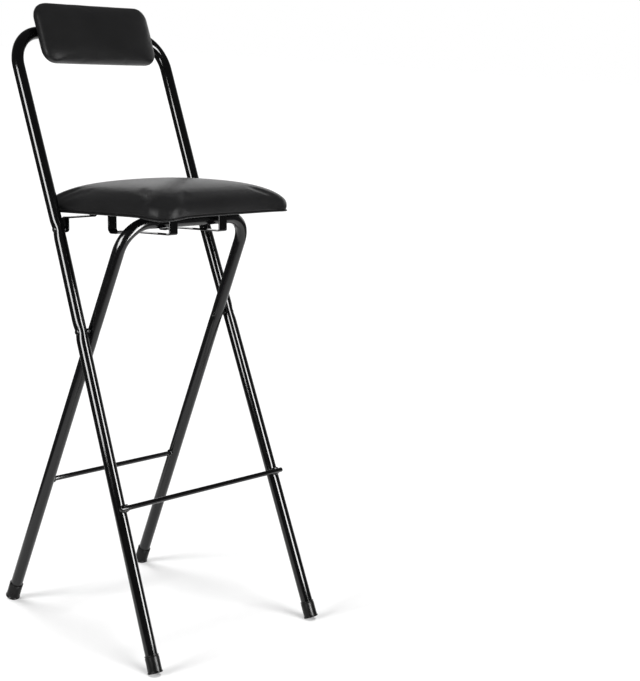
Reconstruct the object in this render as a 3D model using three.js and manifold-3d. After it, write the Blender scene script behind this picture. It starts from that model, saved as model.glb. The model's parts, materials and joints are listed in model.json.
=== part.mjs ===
// Folding bar stool with a padded seat and backrest.
// Millimetres, +Z up. The sitter faces -Y, so the sitter's left is +X.
// The origin lies on the floor, in the middle of the box that the open stool fills.

import * as THREE from 'three';
import { mergeVertices } from 'three/addons/utils/BufferGeometryUtils.js';
import Module from 'manifold-3d';

const wasm = await Module();
wasm.setup();

const radians = THREE.MathUtils.degToRad;
const sides = [['left', 1], ['right', -1]];

// Clearance between pieces that touch, and how far a cutting tool runs past its work
const fit = 0.3;
const overrun = 4;

// Tube of both frames
const tubeDiameter = 22;
const tubeWall = 1.5;
const tubeRadius = tubeDiameter / 2;
const tubeFacets = 20;
const bendSteps = 8;

// Front frame, measured along its own plane from the scissor bolts
const frontLean = radians(23.57);
const frontFootDrop = 601.7;
const frontTopRise = 552;
const frontHalfWidth = 176.3;
const frontFootHalfWidth = 197.9;
const frontFlareRise = 167;
const frontBendRadius = 65;

// Rear frame, measured the same way
const rearLean = radians(20.23);
const rearTopRise = 208.6;
const rearFootHalfWidth = 162.4;
const rearBendRadius = 53;
const scissorGap = 8.3;

// Foot bars
const barDiameter = 9;
const barChamfer = 1.2;
const frontBarDrop = 317.6;
const rearBarDrop = 320;

// Foot caps
const capDiameter = 25;
const capRimDiameter = 26.8;
const capRimHeight = 2.4;
const capEdge = 0.8;
const capHeight = 31;
const capFloor = 4;
const capWear = 1;
const capFacets = 24;

// Pivot bolts of the legs and of the seat, with their spacers and nuts
const boltDiameter = 6;
const boltHeadDiameter = 11;
const boltHeadHeight = 2.6;
const boltNutDiameter = 10;
const boltNutHeight = 3.4;
const boltNutDepth = 2.2;
const spacerDiameter = 9;
const boltFacets = 16;
const domeSteps = 4;

// Seat, measured from its hinge bolts: how far they are above the scissor bolts, its tilt,
// and how far its sides are from the tubes of the front frame
const seatBoltRise = 186;
const seatTilt = radians(4.27);
const seatSideGap = 2.3;
const seatHalfWidth = frontHalfWidth - tubeRadius - seatSideGap;
const seatFrontReach = 258;
const seatRearReach = 59;
const seatFrontCorner = 42;
const seatRearCorner = 22;
const seatSideHeight = 12;
const seatCrownHeight = 56.3;
const seatCrownPower = 2.35;
const seatBoardThickness = 8;
const seatBoardInset = 6;

// Hinge strap under the rear of the seat
const strapThickness = 2.5;
const strapWidth = 18;
const strapLowering = 6.6;
const strapStepHalfWidth = 97;
const earWidth = 20;
const earGap = 5.5;
const earCorner = 8;
const earDrop = 6.5;
const strapScrewSpacing = 62;

// Stirrups that hold the rear frame's cross tube under the seat
const stirrupThickness = 2;
const stirrupWidth = 18;
const stirrupHalfSpacing = 59;
const stirrupFrontReach = 172;
const stirrupRearReach = 8.2;
const stirrupDrop = 8.5;
const stirrupLip = 15;
const stirrupScrewReaches = [45, 115];

// Backrest pad, whose middle lies below the middle of the top tube
const backHalfWidth = 132.5;
const backHalfHeight = 57;
const backDrop = 9.2;
const backCorner = 25;
const backSideHeight = 9;
const backCrownHeight = 34;
const backCrownPower = 2.8;
const backBoardThickness = 5;
const backBoardInset = 8;
const backBoltHalfSpacing = 81.7;
const backBoltHeadDiameter = 10;
const backBoltHeadHeight = 4;
const backBoltBite = 4;

// Tab under the top tube
const tabWidth = 22;
const tabThickness = 2;
const tabReach = 38;
const tabScrewDrop = 25.8;
const tabCorner = 4;

// Small screws
const screwDiameter = 4;
const screwHeadDiameter = 8;
const screwHeadHeight = 2.2;
const screwBite = 5;
const screwFacets = 12;

// Cushion form: how much narrower the lower lip is, and the rings of the crown
const lipInset = 3;
const sideHeightShares = [0.3, 0.65, 1];
const crownRings = 9;
const cornerSteps = 7;

// Finishes
const glossPaint = new THREE.MeshStandardMaterial({ color: 0x0d0d0e, roughness: 0.22, metalness: 0.3 });
const satinPaint = new THREE.MeshStandardMaterial({ color: 0x222223, roughness: 0.5, metalness: 0.2 });
const blackVinyl = new THREE.MeshStandardMaterial({ color: 0x2b2b2c, roughness: 0.5, metalness: 0 });
const blackBoard = new THREE.MeshStandardMaterial({ color: 0x161616, roughness: 0.8, metalness: 0 });
const blackRubber = new THREE.MeshStandardMaterial({ color: 0x242424, roughness: 0.7, metalness: 0 });
const brightZinc = new THREE.MeshStandardMaterial({ color: 0xc9cacb, roughness: 0.3, metalness: 1 });

// Half width of each frame at a height along it, from the middle of the tube
const frontFlare = (frontFootHalfWidth - frontHalfWidth) / (frontFootDrop + frontFlareRise);
const frontHalfAt = (rise) => frontHalfWidth + Math.max(0, frontFlareRise - rise) * frontFlare;
const rearPivotHalfWidth = frontHalfAt(0) - tubeDiameter - scissorGap;

// The soles lie on the floor, less the small flat worn on each lower edge
const soleDrop = (lean, flare) => {
  const upright = Math.cos(lean) * Math.cos(Math.atan(flare));
  return (capRimDiameter / 2) * Math.sqrt(1 - upright * upright) - capWear;
};
const scissorHeight = frontFootDrop * Math.cos(frontLean) + soleDrop(frontLean, frontFlare);
const rearFlareGuess = (rearFootHalfWidth - rearPivotHalfWidth) / frontFootDrop;
const rearFootDrop = (scissorHeight - soleDrop(rearLean, rearFlareGuess)) / Math.cos(rearLean);
const rearFlare = (rearFootHalfWidth - rearPivotHalfWidth) / rearFootDrop;
const rearHalfAt = (rise) => rearPivotHalfWidth - rise * rearFlare;

// Where the rear frame's cross tube lies in the seat's own directions
const tubeAhead = rearTopRise * Math.sin(rearLean) + seatBoltRise * Math.sin(frontLean);
const tubeAbove = rearTopRise * Math.cos(rearLean) - seatBoltRise * Math.cos(frontLean);
const tubeOffset = tubeAbove * Math.cos(seatTilt) - tubeAhead * Math.sin(seatTilt);

// The seat rests on the tube by way of the stirrups
const stirrupTop = tubeOffset + tubeRadius + fit + stirrupThickness;
const seatBottom = stirrupTop + fit;

// Welds a three.js geometry into an indexed one that holds positions alone, without flat triangles
function weld(geometry) {
  const plain = geometry.clone();
  for (const name of Object.keys(plain.attributes)) {
    if (name !== 'position') plain.deleteAttribute(name);
  }
  const merged = mergeVertices(plain, fit / 1000);
  const index = merged.index.array;
  const kept = [];
  for (let i = 0; i < index.length; i += 3) {
    const [a, b, c] = [index[i], index[i + 1], index[i + 2]];
    if (a !== b && b !== c && c !== a) kept.push(a, b, c);
  }
  merged.setIndex(kept);
  return merged;
}

function toSolid(geometry) {
  const welded = weld(geometry);
  return new wasm.Manifold(new wasm.Mesh({
    numProp: 3,
    vertProperties: new Float32Array(welded.attributes.position.array),
    triVerts: new Uint32Array(welded.index.array),
  }));
}

function toGeometry(solid) {
  const mesh = solid.getMesh();
  const geometry = new THREE.BufferGeometry();
  geometry.setAttribute('position', new THREE.BufferAttribute(new Float32Array(mesh.vertProperties), 3));
  geometry.setIndex(Array.from(mesh.triVerts));
  geometry.computeVertexNormals();
  return geometry;
}

function cut(geometry, tools) {
  let solid = toSolid(geometry);
  for (const tool of tools) solid = solid.subtract(toSolid(tool));
  return toGeometry(solid);
}

function join(geometries) {
  let solid = toSolid(geometries[0]);
  for (const geometry of geometries.slice(1)) solid = solid.add(toSolid(geometry));
  return toGeometry(solid);
}

// Solid of revolution about Z from points (radius, height)
function turned(profile, facets) {
  const points = profile.map(([radius, height]) => new THREE.Vector2(radius, height));
  return new THREE.LatheGeometry(points, facets).rotateX(Math.PI / 2);
}

// Round bar along X
function roundBar(radius, length, facets) {
  return new THREE.CylinderGeometry(radius, radius, length, facets).rotateZ(Math.PI / 2);
}

// Points of a dome's outline, from its rim at a base height up to its top on the axis
function domeOutline(radius, base, height) {
  return Array.from({ length: domeSteps + 1 }, (_, i) => {
    const angle = (i / domeSteps) * (Math.PI / 2);
    return [i === domeSteps ? 0 : radius * Math.cos(angle), base + height * Math.sin(angle)];
  });
}

// Dome-head bolt along Z, its head above z = 0 and its shank below
function domeBolt(headDiameter, headHeight, shankDiameter, shankLength, facets) {
  const radius = shankDiameter / 2;
  return turned([
    [0, -shankLength], [radius, -shankLength], [radius, 0],
    ...domeOutline(headDiameter / 2, 0, headHeight),
  ], facets);
}

// Domed nut with a blind bore that opens at z = 0
function domedNut() {
  const bore = boltDiameter / 2 + fit;
  return turned([
    [0, boltNutDepth], [bore, boltNutDepth], [bore, 0],
    ...domeOutline(boltNutDiameter / 2, 0, boltNutHeight),
  ], boltFacets);
}

function ringSpacer(length) {
  const bore = boltDiameter / 2 + fit;
  const radius = spacerDiameter / 2;
  return turned([[bore, 0], [radius, 0], [radius, length], [bore, length], [bore, 0]], boltFacets);
}

// A path through given points with given tangents, one ring of the tube at each
class BentPath extends THREE.Curve {
  constructor(points, tangents) {
    super();
    this.points = points;
    this.tangents = tangents;
  }

  blend(list, t, target) {
    const place = t * (list.length - 1);
    const first = Math.min(Math.floor(place + 1e-9), list.length - 2);
    return target.lerpVectors(list[first], list[first + 1], place - first);
  }

  getPoint(t, target = new THREE.Vector3()) {
    return this.blend(this.points, t, target);
  }

  getPointAt(t, target) {
    return this.getPoint(t, target);
  }

  getTangent(t, target = new THREE.Vector3()) {
    return this.blend(this.tangents, t, target).normalize();
  }

  getTangentAt(t, target) {
    return this.getTangent(t, target);
  }
}

// Hoop of tube in the XZ plane: up one leg, round two bends and down the other leg.
// halfAt gives the half width at a height, and knees lists heights where a leg changes direction.
function tubeHoop(halfAt, footRise, topRise, bendRadius, knees) {
  const bendStart = topRise - bendRadius;
  const bendHalf = halfAt(bendStart);
  const legRises = [footRise, ...knees];
  const half = [];
  for (const [i, rise] of legRises.entries()) {
    const next = i + 1 < legRises.length ? legRises[i + 1] : bendStart;
    const above = new THREE.Vector3(halfAt(next) - halfAt(rise), 0, next - rise).normalize();
    const before = i > 0 ? half[i - 1].above : above;
    const tangent = above.clone().add(before).normalize();
    half.push({ point: new THREE.Vector3(halfAt(rise), 0, rise), tangent, above });
  }
  const legSlope = Math.atan2(-half.at(-1).above.x, half.at(-1).above.z);
  for (let i = 0; i <= bendSteps; i += 1) {
    const angle = (Math.PI / 2) * (i / bendSteps);
    const turn = legSlope + (Math.PI / 2 - legSlope) * (i / bendSteps);
    half.push({
      point: new THREE.Vector3(
        bendHalf - bendRadius * (1 - Math.cos(angle)), 0, bendStart + bendRadius * Math.sin(angle),
      ),
      tangent: new THREE.Vector3(-Math.sin(turn), 0, Math.cos(turn)),
    });
  }
  const mirrored = half.slice().reverse().map(({ point, tangent }) => ({
    point: new THREE.Vector3(-point.x, 0, point.z),
    tangent: new THREE.Vector3(tangent.x, 0, -tangent.z),
  }));
  const stations = [...half, ...mirrored];
  const ring = new THREE.Shape().absarc(0, 0, tubeRadius, 0, Math.PI * 2);
  ring.holes.push(new THREE.Path().absarc(0, 0, tubeRadius - tubeWall, 0, Math.PI * 2, true));
  return new THREE.ExtrudeGeometry(ring, {
    extrudePath: new BentPath(stations.map((s) => s.point), stations.map((s) => s.tangent)),
    steps: stations.length - 1,
    curveSegments: tubeFacets,
    bevelEnabled: false,
  });
}

// Closed outline of a rounded rectangle, front corners first, at an inset from its full size
function roundedOutline({ halfWidth, front, rear, frontCorner, rearCorner }, inset) {
  const corners = [
    [halfWidth - frontCorner, frontCorner - front, frontCorner - inset, -Math.PI / 2],
    [halfWidth - rearCorner, rear - rearCorner, rearCorner - inset, 0],
    [rearCorner - halfWidth, rear - rearCorner, rearCorner - inset, Math.PI / 2],
    [frontCorner - halfWidth, frontCorner - front, frontCorner - inset, Math.PI],
  ];
  const points = [];
  for (const [x, y, radius, start] of corners) {
    for (let i = 0; i <= cornerSteps; i += 1) {
      const angle = start + (Math.PI / 2) * (i / cornerSteps);
      points.push(new THREE.Vector2(x + radius * Math.cos(angle), y + radius * Math.sin(angle)));
    }
  }
  return points;
}

// Cushion on z = 0: a lip, upright sides, and a crown whose rings shrink as a superellipse rises
// while they turn from the rounded rectangle into an oval
function cushionForm(plan, sideHeight, crownHeight, power) {
  const outline = roundedOutline(plan, 0);
  const middle = new THREE.Vector2(0, (plan.rear - plan.front) / 2);
  const reach = new THREE.Vector2(plan.halfWidth, (plan.rear + plan.front) / 2);
  const oval = outline.map((p) => p.clone().sub(middle).divide(reach).normalize().multiply(reach).add(middle));
  const rings = [roundedOutline(plan, lipInset).map((p) => new THREE.Vector3(p.x, p.y, 0))];
  for (const share of sideHeightShares) {
    rings.push(outline.map((p) => new THREE.Vector3(p.x, p.y, sideHeight * share)));
  }
  for (let i = 1; i < crownRings; i += 1) {
    const angle = (Math.PI / 2) * (i / crownRings);
    const spread = Math.cos(angle) ** (2 / power);
    const height = sideHeight + (crownHeight - sideHeight) * Math.sin(angle) ** (2 / power);
    rings.push(outline.map((p, k) => {
      const q = p.clone().lerp(oval[k], 1 - spread).sub(middle).multiplyScalar(spread).add(middle);
      return new THREE.Vector3(q.x, q.y, height);
    }));
  }
  const count = outline.length;
  const points = rings.flat();
  const bottom = points.push(new THREE.Vector3(middle.x, middle.y, 0)) - 1;
  const top = points.push(new THREE.Vector3(middle.x, middle.y, crownHeight)) - 1;
  const last = (rings.length - 1) * count;
  const index = [];
  for (let i = 0; i < count; i += 1) {
    const next = (i + 1) % count;
    index.push(bottom, next, i);
    index.push(top, last + i, last + next);
    for (let ring = 0; ring < last; ring += count) {
      index.push(ring + i, ring + next, ring + count + next);
      index.push(ring + i, ring + count + next, ring + count + i);
    }
  }
  const geometry = new THREE.BufferGeometry().setFromPoints(points);
  geometry.setIndex(index);
  return geometry;
}

// Flat board with rounded corners on z = 0
function board(plan, inset, thickness) {
  const shape = new THREE.Shape(roundedOutline(plan, inset));
  return new THREE.ExtrudeGeometry(shape, { depth: thickness, bevelEnabled: false });
}

// Blind hole tool of a screw from a surface at a height, along +Z
function screwHole(x, y, height, depth, diameter) {
  const length = depth + overrun;
  const tool = new THREE.CylinderGeometry(diameter / 2 + fit, diameter / 2 + fit, length, screwFacets);
  return tool.rotateX(Math.PI / 2).translate(x, y, height - overrun + length / 2);
}

function place(group, name, geometry, material) {
  const mesh = new THREE.Mesh(geometry, material);
  mesh.name = name;
  group.add(mesh);
  return mesh;
}

// Turns a piece drawn along +Z to point along X, outwards from the middle or inwards to it
function alongX(geometry, direction) {
  return geometry.rotateY(direction * (Math.PI / 2));
}

const stool = new THREE.Group();
const frontFrame = new THREE.Group();
frontFrame.position.set(0, 0, scissorHeight);
frontFrame.rotation.x = -frontLean;
const rearFrame = new THREE.Group();
rearFrame.position.set(0, 0, scissorHeight);
rearFrame.rotation.x = rearLean;
const seat = new THREE.Group();
seat.position.set(0, 0, seatBoltRise);
seat.rotation.x = frontLean - seatTilt;
frontFrame.add(seat);
stool.add(frontFrame, rearFrame);

// Front frame tube, drilled for the scissor bolts, the seat bolts and the backrest bolts
const legHoleLength = tubeDiameter + 2 * overrun;
const holeRadius = boltDiameter / 2 + fit;
const legHole = (half, rise) => roundBar(holeRadius, legHoleLength, boltFacets).translate(half, 0, rise);
const backBoltHole = (x) => new THREE.CylinderGeometry(holeRadius, holeRadius, legHoleLength, boltFacets)
  .translate(x, 0, frontTopRise);
place(frontFrame, 'front_frame', cut(
  tubeHoop(frontHalfAt, capFloor + fit - frontFootDrop, frontTopRise, frontBendRadius, [frontFlareRise]),
  sides.flatMap(([, side]) => [
    legHole(side * frontHalfAt(0), 0),
    legHole(side * frontHalfWidth, seatBoltRise),
    backBoltHole(side * backBoltHalfSpacing),
  ]),
), glossPaint);

// Rear frame tube
place(rearFrame, 'rear_frame', cut(
  tubeHoop(rearHalfAt, capFloor + fit - rearFootDrop, rearTopRise, rearBendRadius, []),
  sides.map(([, side]) => legHole(side * rearHalfAt(0), 0)),
), satinPaint);

// Foot bars: one across the front of the legs, the other between the rear legs
function footBar(halfLength) {
  const radius = barDiameter / 2;
  const shoulder = halfLength - barChamfer;
  return turned([
    [0, -halfLength], [radius - barChamfer, -halfLength], [radius, -shoulder],
    [radius, shoulder], [radius - barChamfer, halfLength], [0, halfLength],
  ], boltFacets).rotateY(Math.PI / 2);
}
place(frontFrame, 'front_foot_bar', footBar(frontHalfAt(-frontBarDrop) + tubeRadius), glossPaint)
  .position.set(0, -(tubeRadius + fit + barDiameter / 2), -frontBarDrop);
place(rearFrame, 'rear_foot_bar', footBar(rearHalfAt(barDiameter / 2 - rearBarDrop) - tubeRadius - fit), satinPaint)
  .position.set(0, 0, -rearBarDrop);

// Foot caps
const capRadius = capDiameter / 2;
const capRimRadius = capRimDiameter / 2;
const capBore = tubeRadius + fit;
const footCap = turned([
  [0, 0], [capRimRadius - capEdge, 0], [capRimRadius, capEdge], [capRimRadius, capRimHeight],
  [capRadius, capRimHeight + capEdge], [capRadius, capHeight - capEdge], [capRadius - capEdge, capHeight],
  [capBore, capHeight], [capBore, capFloor], [0, capFloor],
], capFacets);
const caps = [];
for (const [name, side] of sides) {
  const front = place(frontFrame, `${name}_front_foot_cap`, footCap, blackRubber);
  front.position.set(side * frontFootHalfWidth, 0, -frontFootDrop);
  front.rotation.y = -side * Math.atan(frontFlare);
  const rear = place(rearFrame, `${name}_rear_foot_cap`, footCap, blackRubber);
  rear.position.set(side * rearFootHalfWidth, 0, -rearFootDrop);
  rear.rotation.y = -side * Math.atan(rearFlare);
  caps.push(front, rear);
}

// Scissor bolts: head outside the front leg, spacer between the legs, nut inside the rear leg
const scissorReach = frontHalfAt(0) + tubeRadius + fit;
const scissorNutSeat = rearPivotHalfWidth - tubeRadius - fit;
for (const [name, side] of sides) {
  const length = scissorReach - scissorNutSeat + boltNutDepth - fit;
  const bolt = domeBolt(boltHeadDiameter, boltHeadHeight, boltDiameter, length, boltFacets);
  place(frontFrame, `${name}_scissor_bolt`, alongX(bolt, side), glossPaint)
    .position.set(side * scissorReach, 0, 0);
  place(frontFrame, `${name}_scissor_spacer`, alongX(ringSpacer(scissorGap - 2 * fit), side), glossPaint)
    .position.set(side * (rearPivotHalfWidth + tubeRadius + fit), 0, 0);
  place(frontFrame, `${name}_scissor_nut`, alongX(domedNut(), -side), glossPaint)
    .position.set(side * scissorNutSeat, 0, 0);
}

// Seat bolts: head outside the front leg, spacer, then the strap's ear and the nut
const earOuter = frontHalfWidth - tubeRadius - earGap;
const earInner = earOuter - strapThickness;
for (const [name, side] of sides) {
  const headSeat = frontHalfWidth + tubeRadius + fit;
  const nutSeat = earInner - fit;
  const length = headSeat - nutSeat + boltNutDepth - fit;
  const bolt = domeBolt(boltHeadDiameter, boltHeadHeight, boltDiameter, length, boltFacets);
  place(frontFrame, `${name}_seat_bolt`, alongX(bolt, side), glossPaint)
    .position.set(side * headSeat, 0, seatBoltRise);
  place(frontFrame, `${name}_seat_spacer`, alongX(ringSpacer(earGap - 2 * fit), side), glossPaint)
    .position.set(side * (earOuter + fit), 0, seatBoltRise);
  place(frontFrame, `${name}_seat_nut`, alongX(domedNut(), -side), glossPaint)
    .position.set(side * nutSeat, 0, seatBoltRise);
}

// Seat board and cushion, which wraps round the board's edge
const seatPlan = {
  halfWidth: seatHalfWidth,
  front: seatFrontReach,
  rear: seatRearReach,
  frontCorner: seatFrontCorner,
  rearCorner: seatRearCorner,
};
const strapFront = stirrupRearReach - fit;
const strapMiddle = strapWidth / 2 - strapFront;
const strapTop = seatBottom - fit;
const strapScrews = [-strapScrewSpacing, 0, strapScrewSpacing];
const stirrupScrews = sides.flatMap(([name, side]) => stirrupScrewReaches.map((reach, i) => ({
  name: `${name}_stirrup_${i === 0 ? 'rear' : 'front'}_screw`,
  x: side * stirrupHalfSpacing,
  y: -reach,
})));
place(seat, 'seat_board', cut(board(seatPlan, seatBoardInset, seatBoardThickness), [
  ...strapScrews.map((x) => screwHole(x, strapMiddle, 0, screwBite + fit, screwDiameter)),
  ...stirrupScrews.map(({ x, y }) => screwHole(x, y, 0, screwBite + fit, screwDiameter)),
]), blackBoard).position.z = seatBottom;
const seatPocket = board(seatPlan, seatBoardInset - fit, seatBoardThickness + fit + overrun)
  .translate(0, 0, -overrun);
place(seat, 'seat_cushion', cut(
  cushionForm(seatPlan, seatSideHeight, seatCrownHeight, seatCrownPower), [seatPocket],
), blackVinyl).position.z = seatBottom;

// Hinge strap: flat bar across the board, stepped down near its ends and turned down as ears
const strapLow = strapTop - strapLowering;
const strapShape = new THREE.Shape([
  [-strapStepHalfWidth, strapTop], [-strapStepHalfWidth, strapLow], [-earOuter, strapLow],
  [-earOuter, strapLow - strapThickness], [strapThickness - strapStepHalfWidth, strapLow - strapThickness],
  [strapThickness - strapStepHalfWidth, strapTop - strapThickness],
  [strapStepHalfWidth - strapThickness, strapTop - strapThickness],
  [strapStepHalfWidth - strapThickness, strapLow - strapThickness], [earOuter, strapLow - strapThickness],
  [earOuter, strapLow], [strapStepHalfWidth, strapLow], [strapStepHalfWidth, strapTop],
].map(([x, z]) => new THREE.Vector2(x, z)));
const strapBar = new THREE.ExtrudeGeometry(strapShape, { depth: strapWidth, bevelEnabled: false })
  .rotateX(Math.PI / 2)
  .translate(0, strapMiddle + strapWidth / 2, 0);
const earOutline = new THREE.Shape()
  .moveTo(strapLow, -earWidth / 2)
  .lineTo(strapLow, earWidth / 2)
  .lineTo(earCorner - earDrop, earWidth / 2)
  .absarc(earCorner - earDrop, earWidth / 2 - earCorner, earCorner, Math.PI / 2, Math.PI)
  .absarc(earCorner - earDrop, earCorner - earWidth / 2, earCorner, Math.PI, Math.PI * 1.5)
  .closePath();
const ear = (side) => new THREE.ExtrudeGeometry(earOutline, {
  depth: strapThickness, bevelEnabled: false, curveSegments: domeSteps,
}).rotateY(-Math.PI / 2).translate(side > 0 ? earOuter : -earInner, 0, 0);
place(seat, 'seat_hinge_strap', cut(join([strapBar, ear(1), ear(-1)]), [
  ...sides.map(([, side]) => legHole(side * (earOuter + earInner) / 2, 0)),
  ...strapScrews.map((x) => screwHole(x, strapMiddle, strapTop - strapThickness, strapThickness + overrun,
    screwDiameter)),
]), glossPaint);
const panScrew = domeBolt(screwHeadDiameter, screwHeadHeight, screwDiameter,
  strapThickness + 2 * fit + screwBite, screwFacets).rotateX(Math.PI);
for (const [i, x] of strapScrews.entries()) {
  place(seat, `hinge_strap_screw_${i + 1}`, panScrew, glossPaint)
    .position.set(x, strapMiddle, strapTop - strapThickness - fit);
}

// Stirrups: a strap bent round the cross tube's run. The bottom stays open behind the front lip,
// because the tube swings out below it as the stool folds.
const stirrupBottom = -stirrupDrop;
const stirrupShape = new THREE.Shape([
  [stirrupRearReach, stirrupTop], [stirrupRearReach, stirrupBottom],
  [stirrupRearReach + stirrupThickness, stirrupBottom],
  [stirrupRearReach + stirrupThickness, stirrupTop - stirrupThickness],
  [stirrupFrontReach - stirrupThickness, stirrupTop - stirrupThickness],
  [stirrupFrontReach - stirrupThickness, stirrupBottom + stirrupThickness],
  [stirrupFrontReach - stirrupLip, stirrupBottom + stirrupThickness],
  [stirrupFrontReach - stirrupLip, stirrupBottom],
  [stirrupFrontReach, stirrupBottom], [stirrupFrontReach, stirrupTop],
].map(([reach, z]) => new THREE.Vector2(z, -reach)));
const screwRadius = screwDiameter / 2;
const sunkHeadRadius = screwHeadDiameter / 2;
const sunkScrew = turned([
  [0, 0], [sunkHeadRadius, 0], [screwRadius, stirrupThickness],
  [screwRadius, stirrupThickness + fit + screwBite], [0, stirrupThickness + fit + screwBite],
], screwFacets);
const sunkHole = turned([
  [0, -overrun], [sunkHeadRadius + fit, -overrun], [sunkHeadRadius + fit, 0],
  [screwRadius + fit, stirrupThickness], [screwRadius + fit, stirrupThickness + overrun],
  [0, stirrupThickness + overrun],
], screwFacets);
for (const [name, side] of sides) {
  const strap = new THREE.ExtrudeGeometry(stirrupShape, { depth: stirrupWidth, bevelEnabled: false })
    .rotateY(-Math.PI / 2)
    .translate(side * stirrupHalfSpacing + stirrupWidth / 2, 0, 0);
  const holes = stirrupScrews.filter(({ x }) => x * side > 0)
    .map(({ x, y }) => sunkHole.clone().translate(x, y, stirrupTop - stirrupThickness));
  place(seat, `${name}_stirrup`, cut(strap, holes), glossPaint);
}
for (const { name, x, y } of stirrupScrews) {
  place(seat, name, sunkScrew, glossPaint).position.set(x, y, stirrupTop - stirrupThickness);
}

// Backrest pad, drawn flat and stood up so that its crown faces the sitter
const backrest = new THREE.Group();
backrest.position.set(0, -(tubeRadius + fit), frontTopRise);
backrest.rotation.x = Math.PI / 2;
frontFrame.add(backrest);
const backPlan = {
  halfWidth: backHalfWidth,
  front: backHalfHeight + backDrop,
  rear: backHalfHeight - backDrop,
  frontCorner: backCorner,
  rearCorner: backCorner,
};
const backScrewPlaces = [[backBoltHalfSpacing, 0], [-backBoltHalfSpacing, 0]];
place(backrest, 'backrest_board', cut(board(backPlan, backBoardInset, backBoardThickness), [
  ...backScrewPlaces.map(([x, y]) => screwHole(x, y, 0, backBoltBite + fit, boltDiameter)),
  screwHole(0, -tabScrewDrop, 0, backBoltBite + fit, screwDiameter),
]), blackBoard);
const backPocket = board(backPlan, backBoardInset - fit, backBoardThickness + fit + overrun)
  .translate(0, 0, -overrun);
place(backrest, 'backrest_cushion', cut(
  cushionForm(backPlan, backSideHeight, backCrownHeight, backCrownPower), [backPocket],
), blackVinyl);
for (const [name, side] of sides) {
  const bolt = domeBolt(backBoltHeadDiameter, backBoltHeadHeight, boltDiameter,
    tubeDiameter + 2 * fit + backBoltBite, boltFacets).rotateX(Math.PI);
  place(backrest, `${name}_backrest_bolt`, bolt, brightZinc)
    .position.set(side * backBoltHalfSpacing, 0, -(tubeDiameter + 2 * fit));
}

// Tab: a strap under the top tube, behind the pad, with one screw
const tabTop = fit + Math.sqrt(tubeRadius ** 2 - (tubeRadius - tabThickness) ** 2);
const tabShape = new THREE.Shape()
  .moveTo(-tabWidth / 2, -tabTop)
  .lineTo(-tabWidth / 2, tabCorner - tabReach)
  .absarc(tabCorner - tabWidth / 2, tabCorner - tabReach, tabCorner, Math.PI, Math.PI * 1.5)
  .absarc(tabWidth / 2 - tabCorner, tabCorner - tabReach, tabCorner, -Math.PI / 2, 0)
  .lineTo(tabWidth / 2, -tabTop)
  .closePath();
const tab = new THREE.ExtrudeGeometry(tabShape, {
  depth: tabThickness, bevelEnabled: false, curveSegments: domeSteps,
}).translate(0, 0, -(tabThickness + fit));
place(backrest, 'backrest_tab', cut(tab, [
  screwHole(0, -tabScrewDrop, -tabThickness, tabThickness + overrun, screwDiameter),
]), glossPaint);
const tabScrew = domeBolt(screwHeadDiameter, screwHeadHeight, screwDiameter,
  tabThickness + 2 * fit + backBoltBite, screwFacets).rotateX(Math.PI);
place(backrest, 'backrest_tab_screw', tabScrew, brightZinc)
  .position.set(0, -tabScrewDrop, -(tabThickness + 2 * fit));

// Each cap is worn flat where it stands on the floor
stool.updateMatrixWorld(true);
const floorSpan = 4 * capRimDiameter;
for (const cap of caps) {
  const foot = new THREE.Vector3().setFromMatrixPosition(cap.matrixWorld);
  const ground = new THREE.BoxGeometry(floorSpan, floorSpan, floorSpan)
    .translate(foot.x, foot.y, -floorSpan / 2)
    .applyMatrix4(cap.matrixWorld.clone().invert());
  cap.geometry = cut(cap.geometry, [ground]);
}

// The origin goes to the middle of the box, on the floor
const box = new THREE.Box3().setFromObject(stool, true);
stool.position.y = -(box.min.y + box.max.y) / 2;
stool.updateMatrixWorld(true);

export default stool;
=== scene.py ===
# %% [markdown]
# # Folding bar stool
# A tall stool of bent black tube with a padded seat and a small padded backrest. The CAD model
# gives each piece its size and place. This lesson dresses it: round tubes, welds, dimples at the
# bolts, cushions filled by a cloth simulation, and materials named for the real finishes.

import json
import math

import bmesh
import bpy
import numpy as np
from mathutils import Matrix, Vector


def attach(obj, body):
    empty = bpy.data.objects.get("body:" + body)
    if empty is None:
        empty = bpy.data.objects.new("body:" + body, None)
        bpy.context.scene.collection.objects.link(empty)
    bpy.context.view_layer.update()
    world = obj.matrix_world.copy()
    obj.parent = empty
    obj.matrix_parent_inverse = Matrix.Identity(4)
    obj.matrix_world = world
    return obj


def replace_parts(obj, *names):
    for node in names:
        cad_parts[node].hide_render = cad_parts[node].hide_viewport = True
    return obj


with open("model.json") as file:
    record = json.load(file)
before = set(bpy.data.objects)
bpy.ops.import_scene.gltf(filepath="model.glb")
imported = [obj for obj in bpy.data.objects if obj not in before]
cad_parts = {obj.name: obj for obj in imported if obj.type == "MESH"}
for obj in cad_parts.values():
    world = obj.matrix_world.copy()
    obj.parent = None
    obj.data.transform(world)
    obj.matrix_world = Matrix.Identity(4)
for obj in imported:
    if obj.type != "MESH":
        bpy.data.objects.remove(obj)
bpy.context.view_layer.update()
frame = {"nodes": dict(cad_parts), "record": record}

# %% [markdown]
# ## The sizes of the stool
# Two bent tubes cross at the scissor bolts like a pair of scissors, and the seat turns on bolts of
# its own. Sizes are in millimetres, measured along the plane of the frame that carries them: both
# tube frames from the scissor axis, the seat from its hinge bolts.

# %% Sizes
MM = 0.001
FIT = 0.3  # clearance between pieces that lie on each other
TUBE = 11.0  # outer radius of both tubes
WALL = 1.5
SCISSOR = np.array([0.0, 8.6631, 555.8708])
# The frames lean away from the vertical, and the seat's rear is lower than its front
FRONT_LEAN, REAR_LEAN, SEAT_TILT = (math.radians(angle) for angle in (23.57, 20.23, 4.27))

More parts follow.
